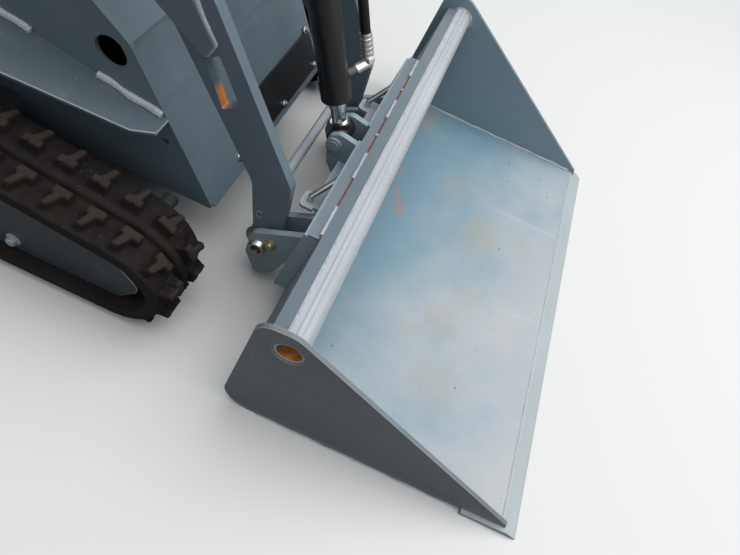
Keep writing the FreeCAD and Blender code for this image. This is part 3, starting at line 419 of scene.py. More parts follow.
def ringsAlong(spots, ahead, radii, sides=10, closed=False):
    # Ring about each point, square to the path: point + radius (cos t side + sin t up)
    aside = np.eye(3)[np.argmin(np.abs(ahead).max(axis=0))]
    side = np.cross(aside, ahead)
    side /= np.linalg.norm(side, axis=1, keepdims=True)
    up = np.cross(ahead, side)
    turn = np.linspace(0, 2 * np.pi, sides, endpoint=False)
    radii = np.broadcast_to(np.reshape(radii, (len(spots), -1)), (len(spots), sides))[..., None]
    ring = np.cos(turn)[None, :, None] * side[:, None] + np.sin(turn)[None, :, None] * up[:, None]
    return gridShape(spots[:, None] + radii * ring, closed, True, not closed)


def alongPath(corners, step):
    # Evenly spaced points on the runs between corners, with the distance and direction at each
    corners = np.array(corners, float)
    runs = np.linalg.norm(np.diff(corners, axis=0), axis=1)
    reach = np.concatenate([[0], np.cumsum(runs)])
    s = np.linspace(0, reach[-1], max(int(reach[-1] / step), 4))
    spots = np.stack([np.interp(s, reach, corners[:, axis]) for axis in range(3)], -1)
    ahead = np.gradient(spots, axis=0)
    return s, spots, ahead / np.linalg.norm(ahead, axis=1, keepdims=True)


def arc(centre, across, up, radius, start=0.0, stop=360.0, count=40):
    # Points of an arc: centre + radius (cos t across + sin t up)
    turn = np.radians(np.linspace(start, stop, count))[:, None]
    return np.array(centre) + radius * (np.cos(turn) * np.array(across) + np.sin(turn) * np.array(up))


def weldBead(corners, size, end=None):
    # Ripples along a path: radius = size (1 - 0.16 (s / pitch mod 1)^2), with a slow uneven swell;
    # the path wanders by a sine of the distance
    s, spots, ahead = alongPath(corners, 1.5)
    swell = 1 + 0.13 * np.sin(s / 16.0 + size) + 0.09 * np.sin(s / 6.1)
    radii = np.linspace(size, end or size, len(s)) * swell * (1 - 0.16 * (s / 5.2 % 1) ** 2)
    spots = spots + 0.25 * size * np.sin(s / 11.0)[:, None] * np.roll(ahead, 1, axis=1)
    return ringsAlong(spots, ahead, radii, 8)


def tubeAlong(corners, radius, step=4.0, sides=16):
    s, spots, ahead = alongPath(corners, step)
    return ringsAlong(spots, ahead, np.full(len(s), radius), sides)


def turned(centre, axis, rows, sides=28, flats=None):
    # Rows of (height, radius) turned about an axis; a hexagon's flats limit the radius
    axis = np.array(axis, float) / np.linalg.norm(axis)
    heights, radii = np.array(rows, float).T
    radii = np.repeat(radii[:, None], sides, axis=1)
    if flats:
        turn = np.linspace(0, 2 * np.pi, sides, endpoint=False)
        radii = np.minimum(radii, flats / np.cos(turn % (np.pi / 3) - np.pi / 6))
    spots = np.array(centre, float) + heights[:, None] * axis
    return ringsAlong(spots, np.repeat(axis[None], len(heights), axis=0), radii, sides)


def hexBolt(centre, axis, across):
    # Washer, then a chamfered hexagon head
    unit = np.array(axis, float) / np.linalg.norm(axis)
    thick, half = across * 0.16, across / 2
    washer = turned(centre, axis, [(-1, half * 1.7), (thick * 0.8, half * 1.7), (thick, half * 1.6)], 24)
    head = [(thick * 0.9, half * 1.15), (across * 0.62, half * 1.15), (across * 0.74, half * 0.92)]
    return [washer, turned(centre, unit, head, 24, half)]


def mirrored(shape, middle=0.0):
    # The other side's copy, its faces turned back outwards
    spots, quads, caps = shape
    spots = spots * (1, -1, 1) + (0, 2 * middle, 0)
    return spots, quads[:, ::-1], [cap[::-1] for cap in caps]


def bothSides(shapes, middle=0.0):
    return list(shapes) + [mirrored(shape, middle) for shape in shapes]


def makePiece(name, shapes, body, slot, finish=None, crease=40):
    # One mesh of several shapes, in the frame's metres
    spots, faces, start = [], [], 0
    for points, quads, caps in shapes:
        spots.append(points)
        faces += (quads + start).tolist() + [(cap + start).tolist() for cap in caps]
        start += len(points)
    mesh = bpy.data.meshes.new(name)
    mesh.from_pydata((np.concatenate(spots) / 1000 + (noseX, 0, 0)).tolist(), [], faces)
    mesh.shade_smooth()
    mesh.set_sharp_from_angle(angle=math.radians(crease))
    piece = bpy.data.objects.new(name, mesh)
    bpy.context.scene.collection.objects.link(piece)
    mesh.materials.append(finish or finishes[slot])
    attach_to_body(piece, body)
    return piece


# Carried-over nodes: plates get small rounded edges, worn pale where the paint is thin

edgeWidths = {
    "bucket_shell": 1.0, "bucket_sides": 1.8, "bucket_tube": 1.0, "cutting_edge": 1.5,
    "hook_strip": 1.0, "attach_plate": 1.4, "loader_arms": 1.8, "chassis": 1.4, "fenders": 1.4,
    "rear_towers": 1.6, "front_cover": 0.8, "hood": 1.0, "side_covers": 1.4, "console": 2.0,
    "rear_tank": 2.0, "platform_brackets": 1.0, "operator_platform": 1.0, "tilt_barrel": 1.2,
    "lift_barrel_left": 1.2, "lift_barrel_right": 1.2, "engine_block": 4.0, "sprockets": 1.0,
    "tilt_rod_end": 1.0, "hose_fittings": 0.6, "idlers": 1.0, "track_rollers": 1.0, "tower_pins": 1.0,
}


def softened(name, width):
    source = nodes[name]
    mesh = source.data.copy()
    bm = bmesh.new()
    bm.from_mesh(mesh)
    bmesh.ops.remove_doubles(bm, verts=bm.verts, dist=0.00002)
    bmesh.ops.dissolve_limit(bm, angle_limit=math.radians(0.8), verts=bm.verts, edges=bm.edges)
    bm.to_mesh(mesh)
    bm.free()
    piece = bpy.data.objects.new(name + "_finished", mesh)
    bpy.context.scene.collection.objects.link(piece)
    mesh.materials.clear()
    main = ownFinish.get(name, finishes[slotOf[name]])
    mesh.materials.append(main)
    mesh.materials.append(edgeFinish if slotOf[name] in ("paint", "worn_paint") else main)
    mesh.shade_smooth()
    bevel = piece.modifiers.new("edges", "BEVEL")
    bevel.width = width / 1000
    bevel.segments = 2
    bevel.limit_method = "ANGLE"
    bevel.angle_limit = math.radians(38)
    bevel.material = 1
    bevel.harden_normals = False
    weighted = piece.modifiers.new("flats", "WEIGHTED_NORMAL")
    weighted.keep_sharp = True
    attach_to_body(piece, owner[name])
    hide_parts(name)
    return piece


for name, obj in nodes.items():
    obj.data.materials.clear()
    obj.data.materials.append(ownFinish.get(name, finishes[slotOf[name]]))
for name, width in edgeWidths.items():
    softened(name, width)
print("plates softened")

# Bucket: weld beads along its seams, stitches on the hook strip with rust between them

bucket = {
    "tubeX": -488.0,
    "tubeZ": 262.0,
    "sideY": 484.0,
    "stitches": ((-290, -224), (-151, -82), (-29, -24), (29, 88), (124, 128), (178, 240)),
}


def makeBucketWelds():
    side, x, z = bucket["sideY"], bucket["tubeX"], bucket["tubeZ"]
    edge = weldBead([(-501.5, -side, 283.4), (-501.5, side, 283.4)], 1.3)
    fill = tubeAlong([(-487.0, -side, 281.3), (-487.0, side, 281.3)], 7.5, 6.0, 24)
    # The fillet takes the tube's paint, with its painted highlight
    makePiece("tubeFillet", [fill], "attachment", "paint", ownFinish["bucket_tube"])
    lip = weldBead([(-34.5, -side, 14.2), (-34.5, side, 14.2)], 3.6)
    seam = [(-46, side - 1, 20.5), (-132, side - 1, 18), (-250, side - 1, 14.5), (-340, side - 1, 11.5)]
    seam += [(-440, side - 1, 9), (-505, side - 1, 11), (-535, side - 1, 22), (-549, side - 1, 48)]
    seam += [(-546, side - 1, 90), (-537, side - 1, 150), (-524, side - 1, 235)]
    ring = weldBead(arc((x, side - 1, z), (1, 0, 0), (0, 0, 1), 25.0), 3.2)
    under = weldBead([(-112, side + 9, 2), (-300, side + 9, 1.6), (-500, side + 9, 1.6)], 1.4)
    seams = [edge, lip] + bothSides([weldBead(seam, 4.4, 2.4), ring, under])
    makePiece("bucketWelds", seams, "attachment", "paint", weldFinish)
    beads = [weldBead([(-526.6, a, 270.2), (-526.6, b, 270.2)], 3.4) for a, b in bucket["stitches"]]
    makePiece("stripStitches", beads, "attachment", "paint", weldFinish)
    line = weldBead([(-526.0, -296, 269.4), (-526.0, 246, 269.4)], 1.7)
    makePiece("stripRustLine", [line], "attachment", "paint", rustFinish)


makeBucketWelds()

# Quick attach: hollow pivot pins, shims, keeper bolts and the clevis pin's ring

attach = {"middleY": -25.0, "pivotX": -633.0, "pivotZ": 108.0, "pinRadius": 16.0}


def makeAttachParts():
    middle, x, z = attach["middleY"], attach["pivotX"], attach["pivotZ"]
    radius = attach["pinRadius"]
    rows = [(0, radius - 1.5), (1.5, radius), (74, radius), (76, radius - 1.5), (76, 11), (66, 10), (66, 4)]
    pin = turned((x, middle + 158, z), (0, 1, 0), rows, 32)
    pins = makePiece("pivotPins", bothSides([pin], middle), "pivots", "zinc")
    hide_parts("pivot_pins")
    shims = []
    for y, thick, wide in ((177.0, 2.8, 28), (180.3, 2.6, 25), (204.6, 2.6, 33), (207.8, 3.2, 29)):
        rows = [(0, radius + 1), (0, wide - 1), (0.6, wide), (thick - 0.6, wide)]
        rows += [(thick, wide - 1), (thick, radius + 1)]
        shims.append(turned((x, middle + y, z), (0, 1, 0), rows, 32))
    makePiece("pivotShims", bothSides(shims, middle), "pivots", "zinc")
    # Black discs inside the hollow pin ends: painted shade, standing for the dark in their bores
    rows = [(0, 10.6), (6, 10.6), (6.5, 9), (6.5, 3), (5, 2)]
    boreShade = turned((x, middle + 158 + 64.5, z), (0, 1, 0), rows, 28)
    makePiece("pinBoreShadeDiscs", bothSides([boreShade], middle), "pivots", "black_plastic")
    keeper = hexBolt((-611, middle + 224, 130), (0, 1, 0), 13.0)
    inner = hexBolt((-611, middle + 164, 130), (0, -1, 0), 12.0)
    makePiece("keeperBolts", bothSides(keeper + inner, middle), "attachment", "zinc", yellowZinc)
    cap = [(0, 10.5), (1.4, 10.5), (2.0, 9.8), (2.0, 1)]
    ends = [turned((-590, middle + 42, 238), (0, 1, 0), cap, 28)]
    makePiece("clevisPinEnds", bothSides(ends, middle), "attachment", "paint", ownFinish["attach_plate"])


makeAttachParts()

# Arms: beads round gussets, tubes and ears, the gland of the tilt cylinder, rings on its ferrule

arms = {
    "middleY": -25.0,
    "legHalf": 204.0,
    "boomInnerY": 250.0,
    "torqueTube": (-850.0, 655.0, 35.0),
    "lowerTube": (-650.0, 161.0, 11.0),
}


def ringBead(tube, y, size, **span):
    # A bead round a cross tube, which is given by its x, z and radius
    x, z, radius = tube
    return weldBead(arc((x, y, z), (1, 0, 0), (0, 0, 1), radius, **span), size)


def makeArmParts():
    middle, half = arms["middleY"], arms["legHalf"]
    tube = arms["torqueTube"]
    face = middle + half + 1.2
    front = [(-763, face, 441), (-752, face, 463), (-785, face, 517), (-829, face, 592), (-829, face, 690)]
    rear = [(-766, face, 439), (-837, face, 487), (-881, face, 567), (-885, face, 690)]
    beads = [weldBead(front, 3.6), weldBead(rear, 3.0)]
    beads.append(ringBead(tube, middle + half - 21, 4.0, count=60))
    beads.append(ringBead(arms["lowerTube"], middle + half - 21, 2.2))
    beads.append(ringBead(tube, middle + half + 9, 4.0, count=60))
    shapes = bothSides(beads, middle)
    shapes += bothSides([ringBead(tube, arms["boomInnerY"] - 1, 4.0, count=60)])
    ears = [ringBead(tube, y, 3.0, start=-20, stop=110) for y in (-9.5, 22)]
    shapes += bothSides(ears, middle)
    makePiece("armWelds", shapes, "loader_arms", "paint", weldFinish)
    mark = weldBead(arc((-646, middle - half, 169), (1, 0, 0), (0, 0, 1), 8, 70, 290, 24), 0.8)
    makePiece("legMark", [mark], "loader_arms", "paint", ownFinish["attach_plate"])


makeArmParts()


def makeTiltDetails():
    base, eye = np.array((-785.0, -25.0, 717.0)), np.array((-590.0, -25.0, 238.0))
    back = (base - eye) / np.linalg.norm(base - eye)
    rows = [(74, 16.6), (74.4, 24), (76, 26), (78, 26.6), (98, 26.6), (99, 26.0), (100, 24), (100, 20)]
    gland = turned(eye, back, rows, 40)
    seal = turned(eye, back, [(71.5, 16.4), (71.5, 19.5), (74.5, 21), (75, 16.4)], 32)
    makePiece("tiltGland", [gland, seal], "loader_arms", "black_paint")
    low, up = np.array((-594.0, 36.0, 357.0)), back
    ferrule = []
    for start in (17.0, 25.0, 33.0, 41.0):
        rows = [(start, 10.2), (start + 1, 11.6), (start + 4.5, 11.6), (start + 5.5, 10.2)]
        ferrule.append(turned(low, up, rows, 24))
    nut = turned(low, up, [(2, 9), (3, 12.6), (12, 12.6), (13, 11)], 24, 11.0)
    makePiece("ferruleRings", ferrule + [nut], "loader_arms", "zinc")


makeTiltDetails()
print("bucket and arms finished")

# Chassis: fender welds, bolts of the front cover and the side covers

chassisParts = {"wallY": 244.0, "slope": (0.8801, 0.0, 0.4747), "coverFaceY": 427.0}


def makeChassisParts():
    wall = chassisParts["wallY"]
    beads = [weldBead([(-822, wall + 2, 309), (-926, wall + 2, 329)], 6.6)]
    beads.append(weldBead([(-1030, wall + 2, 349), (-1084, wall + 2, 360)], 6.0))
    for x in (-1240.0, -1420.0, -1590.0):
        z = 306 + (-812 - x) * 0.1944
        beads.append(weldBead([(x + 40, wall + 2, z - 7.8), (x - 40, wall + 2, z + 7.8)], 5.0))
    beads.append(weldBead([(-1004, wall - 3, 518), (-1200, wall - 3, 533)], 2.5))
    makePiece("fenderWelds", bothSides(beads), "chassis", "paint", weldFinish)
    slope = chassisParts["slope"]
    bolts = []
    for y in (-96.0, 62.0, 218.0):
        bolts += hexBolt((-733.4, y, 162), slope, 9.0)
    bolts += hexBolt((-770.6, -96, 231), slope, 9.0) + hexBolt((-770.6, 218, 231), slope, 9.0)
    bolts += hexBolt((-739.0, -124, 164.4), slope, 10.0)
    makePiece("coverBolts", bolts, "chassis", "zinc")
    covers = []
    for x, z in ((-985, 77), (-1230, 84), (-1420, 92)):
        covers += hexBolt((x, chassisParts["coverFaceY"], z), (0, 1, 0), 15.0)
    makePiece("sideCoverBolts", bothSides(covers), "chassis", "paint", edgeFinish)
    pins = hexBolt((-1750, 300, 1000), (0, 1, 0), 24.0)
    pins += hexBolt((-1677, 251, 612), (0, 1, 0), 20.0)
    makePiece("towerPinBolts", bothSides(pins), "chassis", "zinc")
    rims = []
    for i in range(6):
        turn = math.pi / 3 * i
        spot = (-1640 + 44 * math.cos(turn), 408, 216 + 44 * math.sin(turn))
        rims += hexBolt(spot, (0, 1, 0), 14.0)
    rims += [turned((-808, 417, 118), (0, 1, 0), [(-1, 20), (1.4, 20), (1.8, 16)], 28)]
    makePiece("wheelBolts", bothSides(rims), "chassis", "zinc")


makeChassisParts()

# Tracks: a rubber belt with two staggered rows of boot-shaped lugs beside a smooth centre band

track = {
    "idler": (-808.0, 118.0, 118.0),
    "sprocket": (-1640.0, 216.0, 166.0),
    "rearRoller": (-1490.0, 90.0, 90.0),
    "outerY": 447.0,
    "width": 130.0,
    "belt": 22.0,
    "lug": 21.6,
    "lugs": 45,
    "gridStep": 2.3,
}


def beltLine(count):
    # Belt surface, at the lugs' feet, as evenly spaced points: x, z and outward direction
    drop = track["lug"] + 0.4
    wheels = [track[name] for name in ("idler", "sprocket", "rearRoller")]
    spans, length = [], 0.0
    leans = []
    for i in range(3):
        x0, z0, r0 = wheels[i]
        x1, z1, r1 = wheels[(i + 1) % 3]
        away = math.hypot(x1 - x0, z1 - z0)
        lean = math.atan2(z1 - z0, x1 - x0) - math.acos((r0 - r1) / away)
        leans.append((lean, math.sqrt(away**2 - (r0 - r1) ** 2)))
    for i in range(3):
        lean, run = leans[i]
        x, z, r = wheels[i]
        spans.append(("run", x, z, r - drop, lean, run))
        after = leans[(i + 1) % 3][0]
        x, z, r = wheels[(i + 1) % 3]
        spans.append(("arc", x, z, r - drop, lean, ((after - lean) % (2 * math.pi)) * (r - drop)))
    total = sum(span[5] for span in spans)
    s = np.arange(count) * total / count
    x, z, out = np.zeros(count), np.zeros(count), np.zeros(count)
    for kind, cx, cz, radius, lean, size in spans:
        here = (s >= length) & (s < length + size)
        along = s[here] - length
        turn = lean + (along / radius if kind == "arc" else along * 0)
        x[here] = cx + radius * np.cos(turn) - (along * math.sin(lean) if kind == "run" else 0)
        z[here] = cz + radius * np.sin(turn) + (along * math.cos(lean) if kind == "run" else 0)
        out[here] = turn
        length += size
    return s, x, z, out, total


def lugHeight(s, across, pitch):
    # Height over the belt at distance s and distance across from the track's middle (outwards +):
    # a foot beside the band and a skewed leg out to the edge, as distances to rounded boxes; each
    # wall falls off smoothly over 5 mm. The inner row is the outer one turned half round.
    outer = across > 0
    w = np.abs(across) - 9.0
    local = np.where(outer, s + 11.5, -(s - 15.5))
    a = (local + pitch / 2) % pitch - pitch / 2
    foot = np.maximum(np.abs(a) - 16.0, np.abs(w - 16.0) - 9.0)
    lean = 1.0 + 9.5 * (w - 20.0) / 34.0
    leg = np.maximum(np.abs(a - lean) - (9.0 - 2.5 * (w - 20.0) / 34.0), np.abs(w - 32.0) - 16.5)
    share = np.clip((1.5 - np.minimum(foot, leg)) / 5.0, 0, 1)
    raised = share**2 * (3 - 2 * share)
    worn = 1 - 0.06 * np.sin(s / 31.0) ** 2 - 0.04 * np.sin(w / 5.0 + s / 9.0) ** 2
    gap = (a % pitch) - pitch / 2
    dome = np.clip(1 - (gap**2 + (w - 38.0) ** 2) / 19.0**2, 0, 1) * 4.5
    band = np.clip((9.5 - np.abs(across)) / 3.0, 0, 1)
    height = np.maximum(np.maximum(raised * worn * track["lug"], dome), band * 12.0)
    return height, raised


def makeTrack(name, side):
    pitch = 2438.5 / track["lugs"]
    count = int(2438.5 / track["gridStep"])
    s, x, z, out, total = beltLine(count)
    half = track["width"] / 2
    across = np.linspace(-half + 1, half - 1, int(track["width"] / track["gridStep"]))
    height, raised = lugHeight(s[:, None] * 2438.5 / total, across[None, :], pitch)
    edge = np.array([-2.0, -track["belt"] + 1.0, -track["belt"]])
    under = np.full(6, -track["belt"])
    edges = np.array([half, half, half - 2])
    inner = np.linspace(half - 3, -half + 3, 6)
    profile = np.concatenate([across, edges, inner, -edges[::-1]])
    fixed = np.concatenate([edge, under, edge[::-1]])
    lift = np.concatenate([height, np.repeat(fixed[None], count, axis=0)], axis=1)
    raised = np.concatenate([raised, np.zeros((count, len(fixed)))], axis=1)
    y = track["outerY"] - half + profile
    spots = np.stack([
        x[:, None] + np.cos(out)[:, None] * lift,
        np.repeat(y[None], count, axis=0),
        z[:, None] + np.sin(out)[:, None] * lift,
    ], -1)
    shape = gridShape(spots, True, True, False)
    shape = (shape[0], shape[1][:, ::-1], [])
    if side < 0:
        shape = mirrored(shape)
    piece = makePiece(name + "Rubber", [shape], "chassis", "track_rubber", None, 80)
    layer = piece.data.attributes.new("raised", "FLOAT", "POINT")
    layer.data.foreach_set("value", raised.ravel())
    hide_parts(name)
    return piece


makeTrack("track_left", 1)
makeTrack("track_right", -1)
print("chassis and tracks finished")

# Operator's place: levers with boots, gauges, rail with its grip, knee pad, tread plate

station = {
    "levers": ((-120.0, 120.0, 8.0), (-80.0, 120.0, 8.0), (90.0, 110.0, 7.0), (130.0, 110.0, 7.0)),
    "leverX": -1740.0,
    "leverZ": 1014.0,
    "gauges": ((-60.0, 26.0, 0.9), (0.0, 20.0, -0.4)),
    "gaugeX": -1690.0,
    "gaugeZ": 1042.1,
    "railX": -1700.0,
    "railY": 179.3,
    "railFoot": 901.0,
    "railTop": 1172.0,
    "railBend": 46.0,
}


def makeLevers():
    x, z = station["leverX"], station["leverZ"]
    shapes = []
    for y, height, radius in station["levers"]:
        axis = np.array((-22.0, 0, height)) / math.hypot(22, height)
        up = np.linspace(0, 36, 46)
        boot = np.stack([up, 19 - 0.26 * up + 1.5 * np.sin(up * 2 * np.pi / 7.0)], -1)
        shapes.append(turned((x, y, z), axis, boot, 28))
        shapes.append(turned((x, y, z), axis, [(30, radius * 0.8), (height, radius * 0.8)], 18))
        # Knob: radius (1 - |2 t - 1|^2.6)^(1/2.6) along its length
        t = np.linspace(0.004, 0.996, 22)
        knob = np.stack([height - 4 + 31 * t, (radius + 9) * (1 - np.abs(2 * t - 1) ** 2.6) ** (1 / 2.6)], -1)
        shapes.append(turned((x, y, z), axis, knob, 28))
    piece = makePiece("leversWithBoots", shapes, "chassis", "black_plastic")
    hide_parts("control_levers")


def makeGauges():
    out = np.array((-0.3363, 0, 0.9417))
    along = np.array((0.9417, 0, 0.3363))
    rims, dials, ticks, needles = [], [], [], []
    for y, radius, hand in station["gauges"]:
        spot = np.array((station["gaugeX"], y, station["gaugeZ"]))
        rows = [(1, radius + 1.5), (10, radius + 1.5), (12, radius), (12, radius - 3)]
        rows += [(9.5, radius - 3.5), (9.2, radius - 3.6), (9.2, 1)]
        rims.append(turned(spot, out, rows, 36))
        dials.append(turned(spot, out, [(9.0, radius - 3.8), (9.7, radius - 3.8)], 36))
        for turn in np.radians(np.arange(-130, 131, 26)):
            ray = math.cos(turn) * along + math.sin(turn) * np.array((0, 1, 0))
            tick = [spot + out * 9.9 + ray * (radius - 9), spot + out * 9.9 + ray * (radius - 5.5)]
            ticks.append(tubeAlong(tick, 0.55, 2.0, 4))
        ray = math.cos(hand) * along + math.sin(hand) * np.array((0, 1, 0))
        pivot = spot + out * 10.4
        needles.append(tubeAlong([pivot - ray * 4, pivot + ray * (radius - 7)], 0.6, 3.0, 6))
    makePiece("gaugeRims", rims, "chassis", "black_paint")
    dialFace = softFinish("dialFace", (0.62, 0.62, 0.58), 0.4, 200, 0.0001, 0.02)
    makePiece("gaugeDials", dials, "chassis", "lamp", dialFace)
    makePiece("gaugeTicks", ticks + needles, "chassis", "black_paint")


def makeRail():
    x, y, foot = station["railX"], station["railY"], station["railFoot"]
    top, bend = station["railTop"], station["railBend"]
    left = arc((x, y - bend, top - bend), (0, 1, 0), (0, 0, 1), bend, 0, 90, 16)
    route = np.concatenate([[(x, y, foot)], left, left[::-1] * (1, -1, 1), [(x, -y, foot)]])
    piece = makePiece("bentRail", [tubeAlong(route, 13.9, 5.0, 24)], "chassis", "black_paint")
    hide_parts("handrail")
    across = np.linspace(-112, 112, 150)
    grip = np.stack([across, 17.2 - 0.9 * np.abs(np.sin(across * np.pi / 9.0))], -1)
    makePiece("railGrip", [turned((x, 0, top), (0, 1, 0), grip, 28)], "chassis", "black_plastic")


pad = {
    "backX": -1850.4,
    "middleZ": 750.0,
    "halfWide": 168.0,
    "halfHigh": 109.0,
    "swell": 42.0,
    "channel": 0.34,
}


def makeKneePad():
    # Rows up the pad, v from -1 to 1: half width 168 (1 - |v|^9)^(1/5); the front swells out by
    # 42 (1 - |v|^6)^(1/3) (1 - |u|^6)^(1/3), u being the share of that half width, less the dips of
    # the two sewn channels at v = +-0.34
    high, middle = pad["halfHigh"], pad["middleZ"]
    v = np.linspace(-0.997, 0.997, 60)[:, None]
    half = pad["halfWide"] * (1 - np.abs(v) ** 9) ** 0.2
    u = np.linspace(-1, 1, 70)[None, :]
    dip = 1 - 0.3 * np.exp(-(((np.abs(v) - pad["channel"]) / 0.045) ** 2)) * (np.abs(u) < 0.93)
    crown = (1 - np.abs(v) ** 6) ** (1 / 3) * (1 - np.abs(u) ** 6) ** (1 / 3)
    swell = pad["swell"] * crown * dip + 1.0
    pull = 1 - 0.012 * (1 - u**2) * np.sign(v) * v
    front = np.stack([pad["backX"] - 0.2 - swell, half * u, middle + high * v * pull + 0 * u], -1)
    u = np.linspace(0.98, -0.98, 16)[None, :]
    back = np.stack([pad["backX"] + 0 * u * v, half * u, middle + high * v + 0 * u], -1)
    shape = gridShape(np.concatenate([front, back], axis=1))
    piece = makePiece("kneePad", [shape], "chassis", "pad", None, 60)
    bm = bmesh.new()
    bm.from_mesh(piece.data)
    bmesh.ops.recalc_face_normals(bm, faces=bm.faces)
    bm.to_mesh(piece.data)
    bm.free()
    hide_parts("knee_pad")
    seams = []
    for z in (713.0, 787.0):
        seams.append(tubeAlong([(-1879.5, -150, z), (-1879.5, 150, z)], 0.9, 6.0, 8))
    makePiece("padSeams", seams, "chassis", "pad")


tread = {"startX": -2244.0, "startY": -216.0, "pitch": 24.0, "foot": 181.8, "top": 183.6}


def makeTread():
    # Raised lozenges in rows, every other one turned a quarter: a low rhombus with a smaller top
    i, j = np.meshgrid(np.arange(14), np.arange(19), indexing="ij")
    x, y = tread["startX"] + tread["pitch"] * i.ravel(), tread["startY"] + tread["pitch"] * j.ravel()
    quarter = ((i + j) % 2).ravel()[:, None]
    rim = np.array([(9, 0), (0, 3), (-9, 0), (0, -3)], float)
    flat = np.concatenate([rim, rim * 0.62])
    turnedFlat = np.stack([-flat[:, 1], flat[:, 0]], -1)
    plan = np.where(quarter[..., None] == 1, turnedFlat[None], flat[None])
    high = np.repeat(np.array([tread["foot"]] * 4 + [tread["top"]] * 4)[None], len(x), 0)
    spots = np.stack([x[:, None] + plan[..., 0], y[:, None] + plan[..., 1], high], -1)
    faces = np.array([(4, 5, 6, 7), (0, 1, 5, 4), (1, 2, 6, 5), (2, 3, 7, 6), (3, 0, 4, 7)])
    quads = (faces[None] + 8 * np.arange(len(x))[:, None, None]).reshape(-1, 4)
    makePiece("treadLozenges", [(spots.reshape(-1, 3), quads, [])], "platform", "black_paint")


lamps = {"backX": -1064.0, "y": 128.0, "z": 880.0}


def makeLamps():
    housings, lenses = [], []
    for y in (-lamps["y"], lamps["y"]):
        spot = (lamps["backX"], y, lamps["z"])
        rows = [(0, 22), (8, 28), (30, 29.6), (41, 29.6), (42, 28.6), (42, 26.6)]
        rows += [(36, 26.0), (22, 12), (20, 4)]
        housings.append(turned(spot, (1, 0, 0), rows, 36))
        rows = [(36.5, 26), (38.4, 25.6), (40.2, 18), (41, 9), (41.2, 1)]
        lenses.append(turned(spot, (1, 0, 0), rows, 36))
    makePiece("lampHousings", housings, "hood", "lamp", finishes["black_plastic"])
    piece = makePiece("lampLenses", lenses, "hood", "lamp")
    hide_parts("work_lamps")


def slab(low, high):
    # A box from its low corner to its high one
    sides = np.array([(i, j, k) for i in (0, 1) for j in (0, 1) for k in (0, 1)], float)
    spots = np.array(low) + sides * (np.array(high) - np.array(low))
    quads = [(0, 1, 3, 2), (4, 6, 7, 5), (0, 4, 5, 1), (2, 3, 7, 6), (0, 2, 6, 4), (1, 5, 7, 3)]
    return spots, np.array(quads), []


def makeScreens():
    # Dark screens just inside the hood, behind its grille and its louvres
    shapes = [slab((-1086, -104, 606), (-1083, 104, 888))]
    shapes += bothSides([slab((-1446, 153, 622), (-1158, 155, 888))])
    makePiece("hoodScreens", shapes, "hood", "black_plastic")


makeScreens()
makeLevers()
makeGauges()
makeRail()
makeKneePad()
makeTread()
makeLamps()
print("operator's place finished")

# Floor and light


studio = {
    "reach": 40.0,
    "groundLit": (0.22, 0.21, 0.2),
    "groundSeen": (0.66, 0.66, 0.65),
    "sky": (0.93, 0.96, 1.0),
    "skySeen": 0.9,
    "skyLow": 0.24,
    "skyHigh": 0.78,
    "lights": (("topLight", (1.4, 0.4, 4.2), 4.4, 150.0), ("sideLight", (4.2, 0.6, 2.4), 2.6, 50.0)),
    "target": (0.4, 0, 0.3),
}


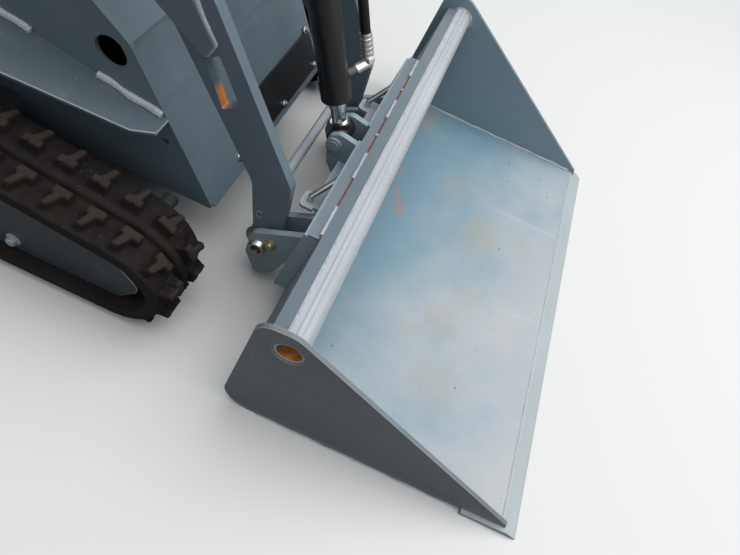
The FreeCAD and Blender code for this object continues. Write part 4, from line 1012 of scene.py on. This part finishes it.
def makeGround():
    floorMesh = bpy.data.meshes.new("studioFloor")
    reach = studio["reach"]
    corners = [(-reach, -reach, 0), (reach, -reach, 0), (reach, reach, 0), (-reach, reach, 0)]
    floorMesh.from_pydata(corners, [], [(0, 1, 2, 3)])
    floor = bpy.data.objects.new("studioFloor", floorMesh)
    floor.location.z = -0.0005
    bpy.context.scene.collection.objects.link(floor)
    f = Finish("studioFloor")
    seen = f.add("ShaderNodeLightPath", {}, {}, "Is Camera Ray")
    # The camera sees the far ground in the background's own tone, so that no horizon shows
    apart = f.add("ShaderNodeVectorMath", {"operation": "LENGTH"}, {0: f.place}, "Value")
    far = apart.ramp(2.0, 5.5) * seen
    colour = f.mix(seen, studio["groundLit"], studio["groundSeen"])
    colour = f.mix(far, colour, (0, 0, 0))
    glow = f.mix(far, (0, 0, 0), tuple(studio["skySeen"] * c for c in studio["sky"]))
    ground = f.set(
        Base_Color=colour, Roughness=0.9, Emission_Color=glow, Emission_Strength=1.0, Specular_IOR_Level=0.0
    )
    floorMesh.materials.append(ground)


def makeSky():
    world = bpy.data.worlds.new("studio")
    bpy.context.scene.world = world
    world.use_nodes = True
    tree = world.node_tree
    path = tree.nodes.new("ShaderNodeLightPath")
    most = tree.nodes.new("ShaderNodeMath")
    most.operation = "MAXIMUM"
    tree.links.new(path.outputs["Is Camera Ray"], most.inputs[0])
    tree.links.new(path.outputs["Is Glossy Ray"], most.inputs[1])
    # The sky lights diffusely with 0.24 at the horizon and 0.78 overhead; seen, it is pale all over
    direction = tree.nodes.new("ShaderNodeTexCoord")
    split = tree.nodes.new("ShaderNodeSeparateXYZ")
    tree.links.new(direction.outputs["Generated"], split.inputs[0])
    above = tree.nodes.new("ShaderNodeMapRange")
    above.inputs["To Min"].default_value = studio["skyLow"]
    above.inputs["To Max"].default_value = studio["skyHigh"]
    tree.links.new(split.outputs["Z"], above.inputs["Value"])
    strength = tree.nodes.new("ShaderNodeMapRange")
    strength.inputs["To Max"].default_value = studio["skySeen"]
    tree.links.new(above.outputs[0], strength.inputs["To Min"])
    tree.links.new(most.outputs[0], strength.inputs["Value"])
    background = tree.nodes["Background"]
    background.inputs[0].default_value = (*studio["sky"], 1)
    tree.links.new(strength.outputs[0], background.inputs[1])


def makeLights():
    for name, place, size, power in studio["lights"]:
        data = bpy.data.lights.new(name, "AREA")
        data.size = size
        data.energy = power
        lamp = bpy.data.objects.new(name, data)
        lamp.location = place
        toward = Vector(studio["target"]) - Vector(place)
        lamp.rotation_euler = toward.to_track_quat("-Z", "Y").to_euler()
        bpy.context.scene.collection.objects.link(lamp)


makeGround()
makeSky()
makeLights()
bpy.context.scene.view_settings.view_transform = "Standard"
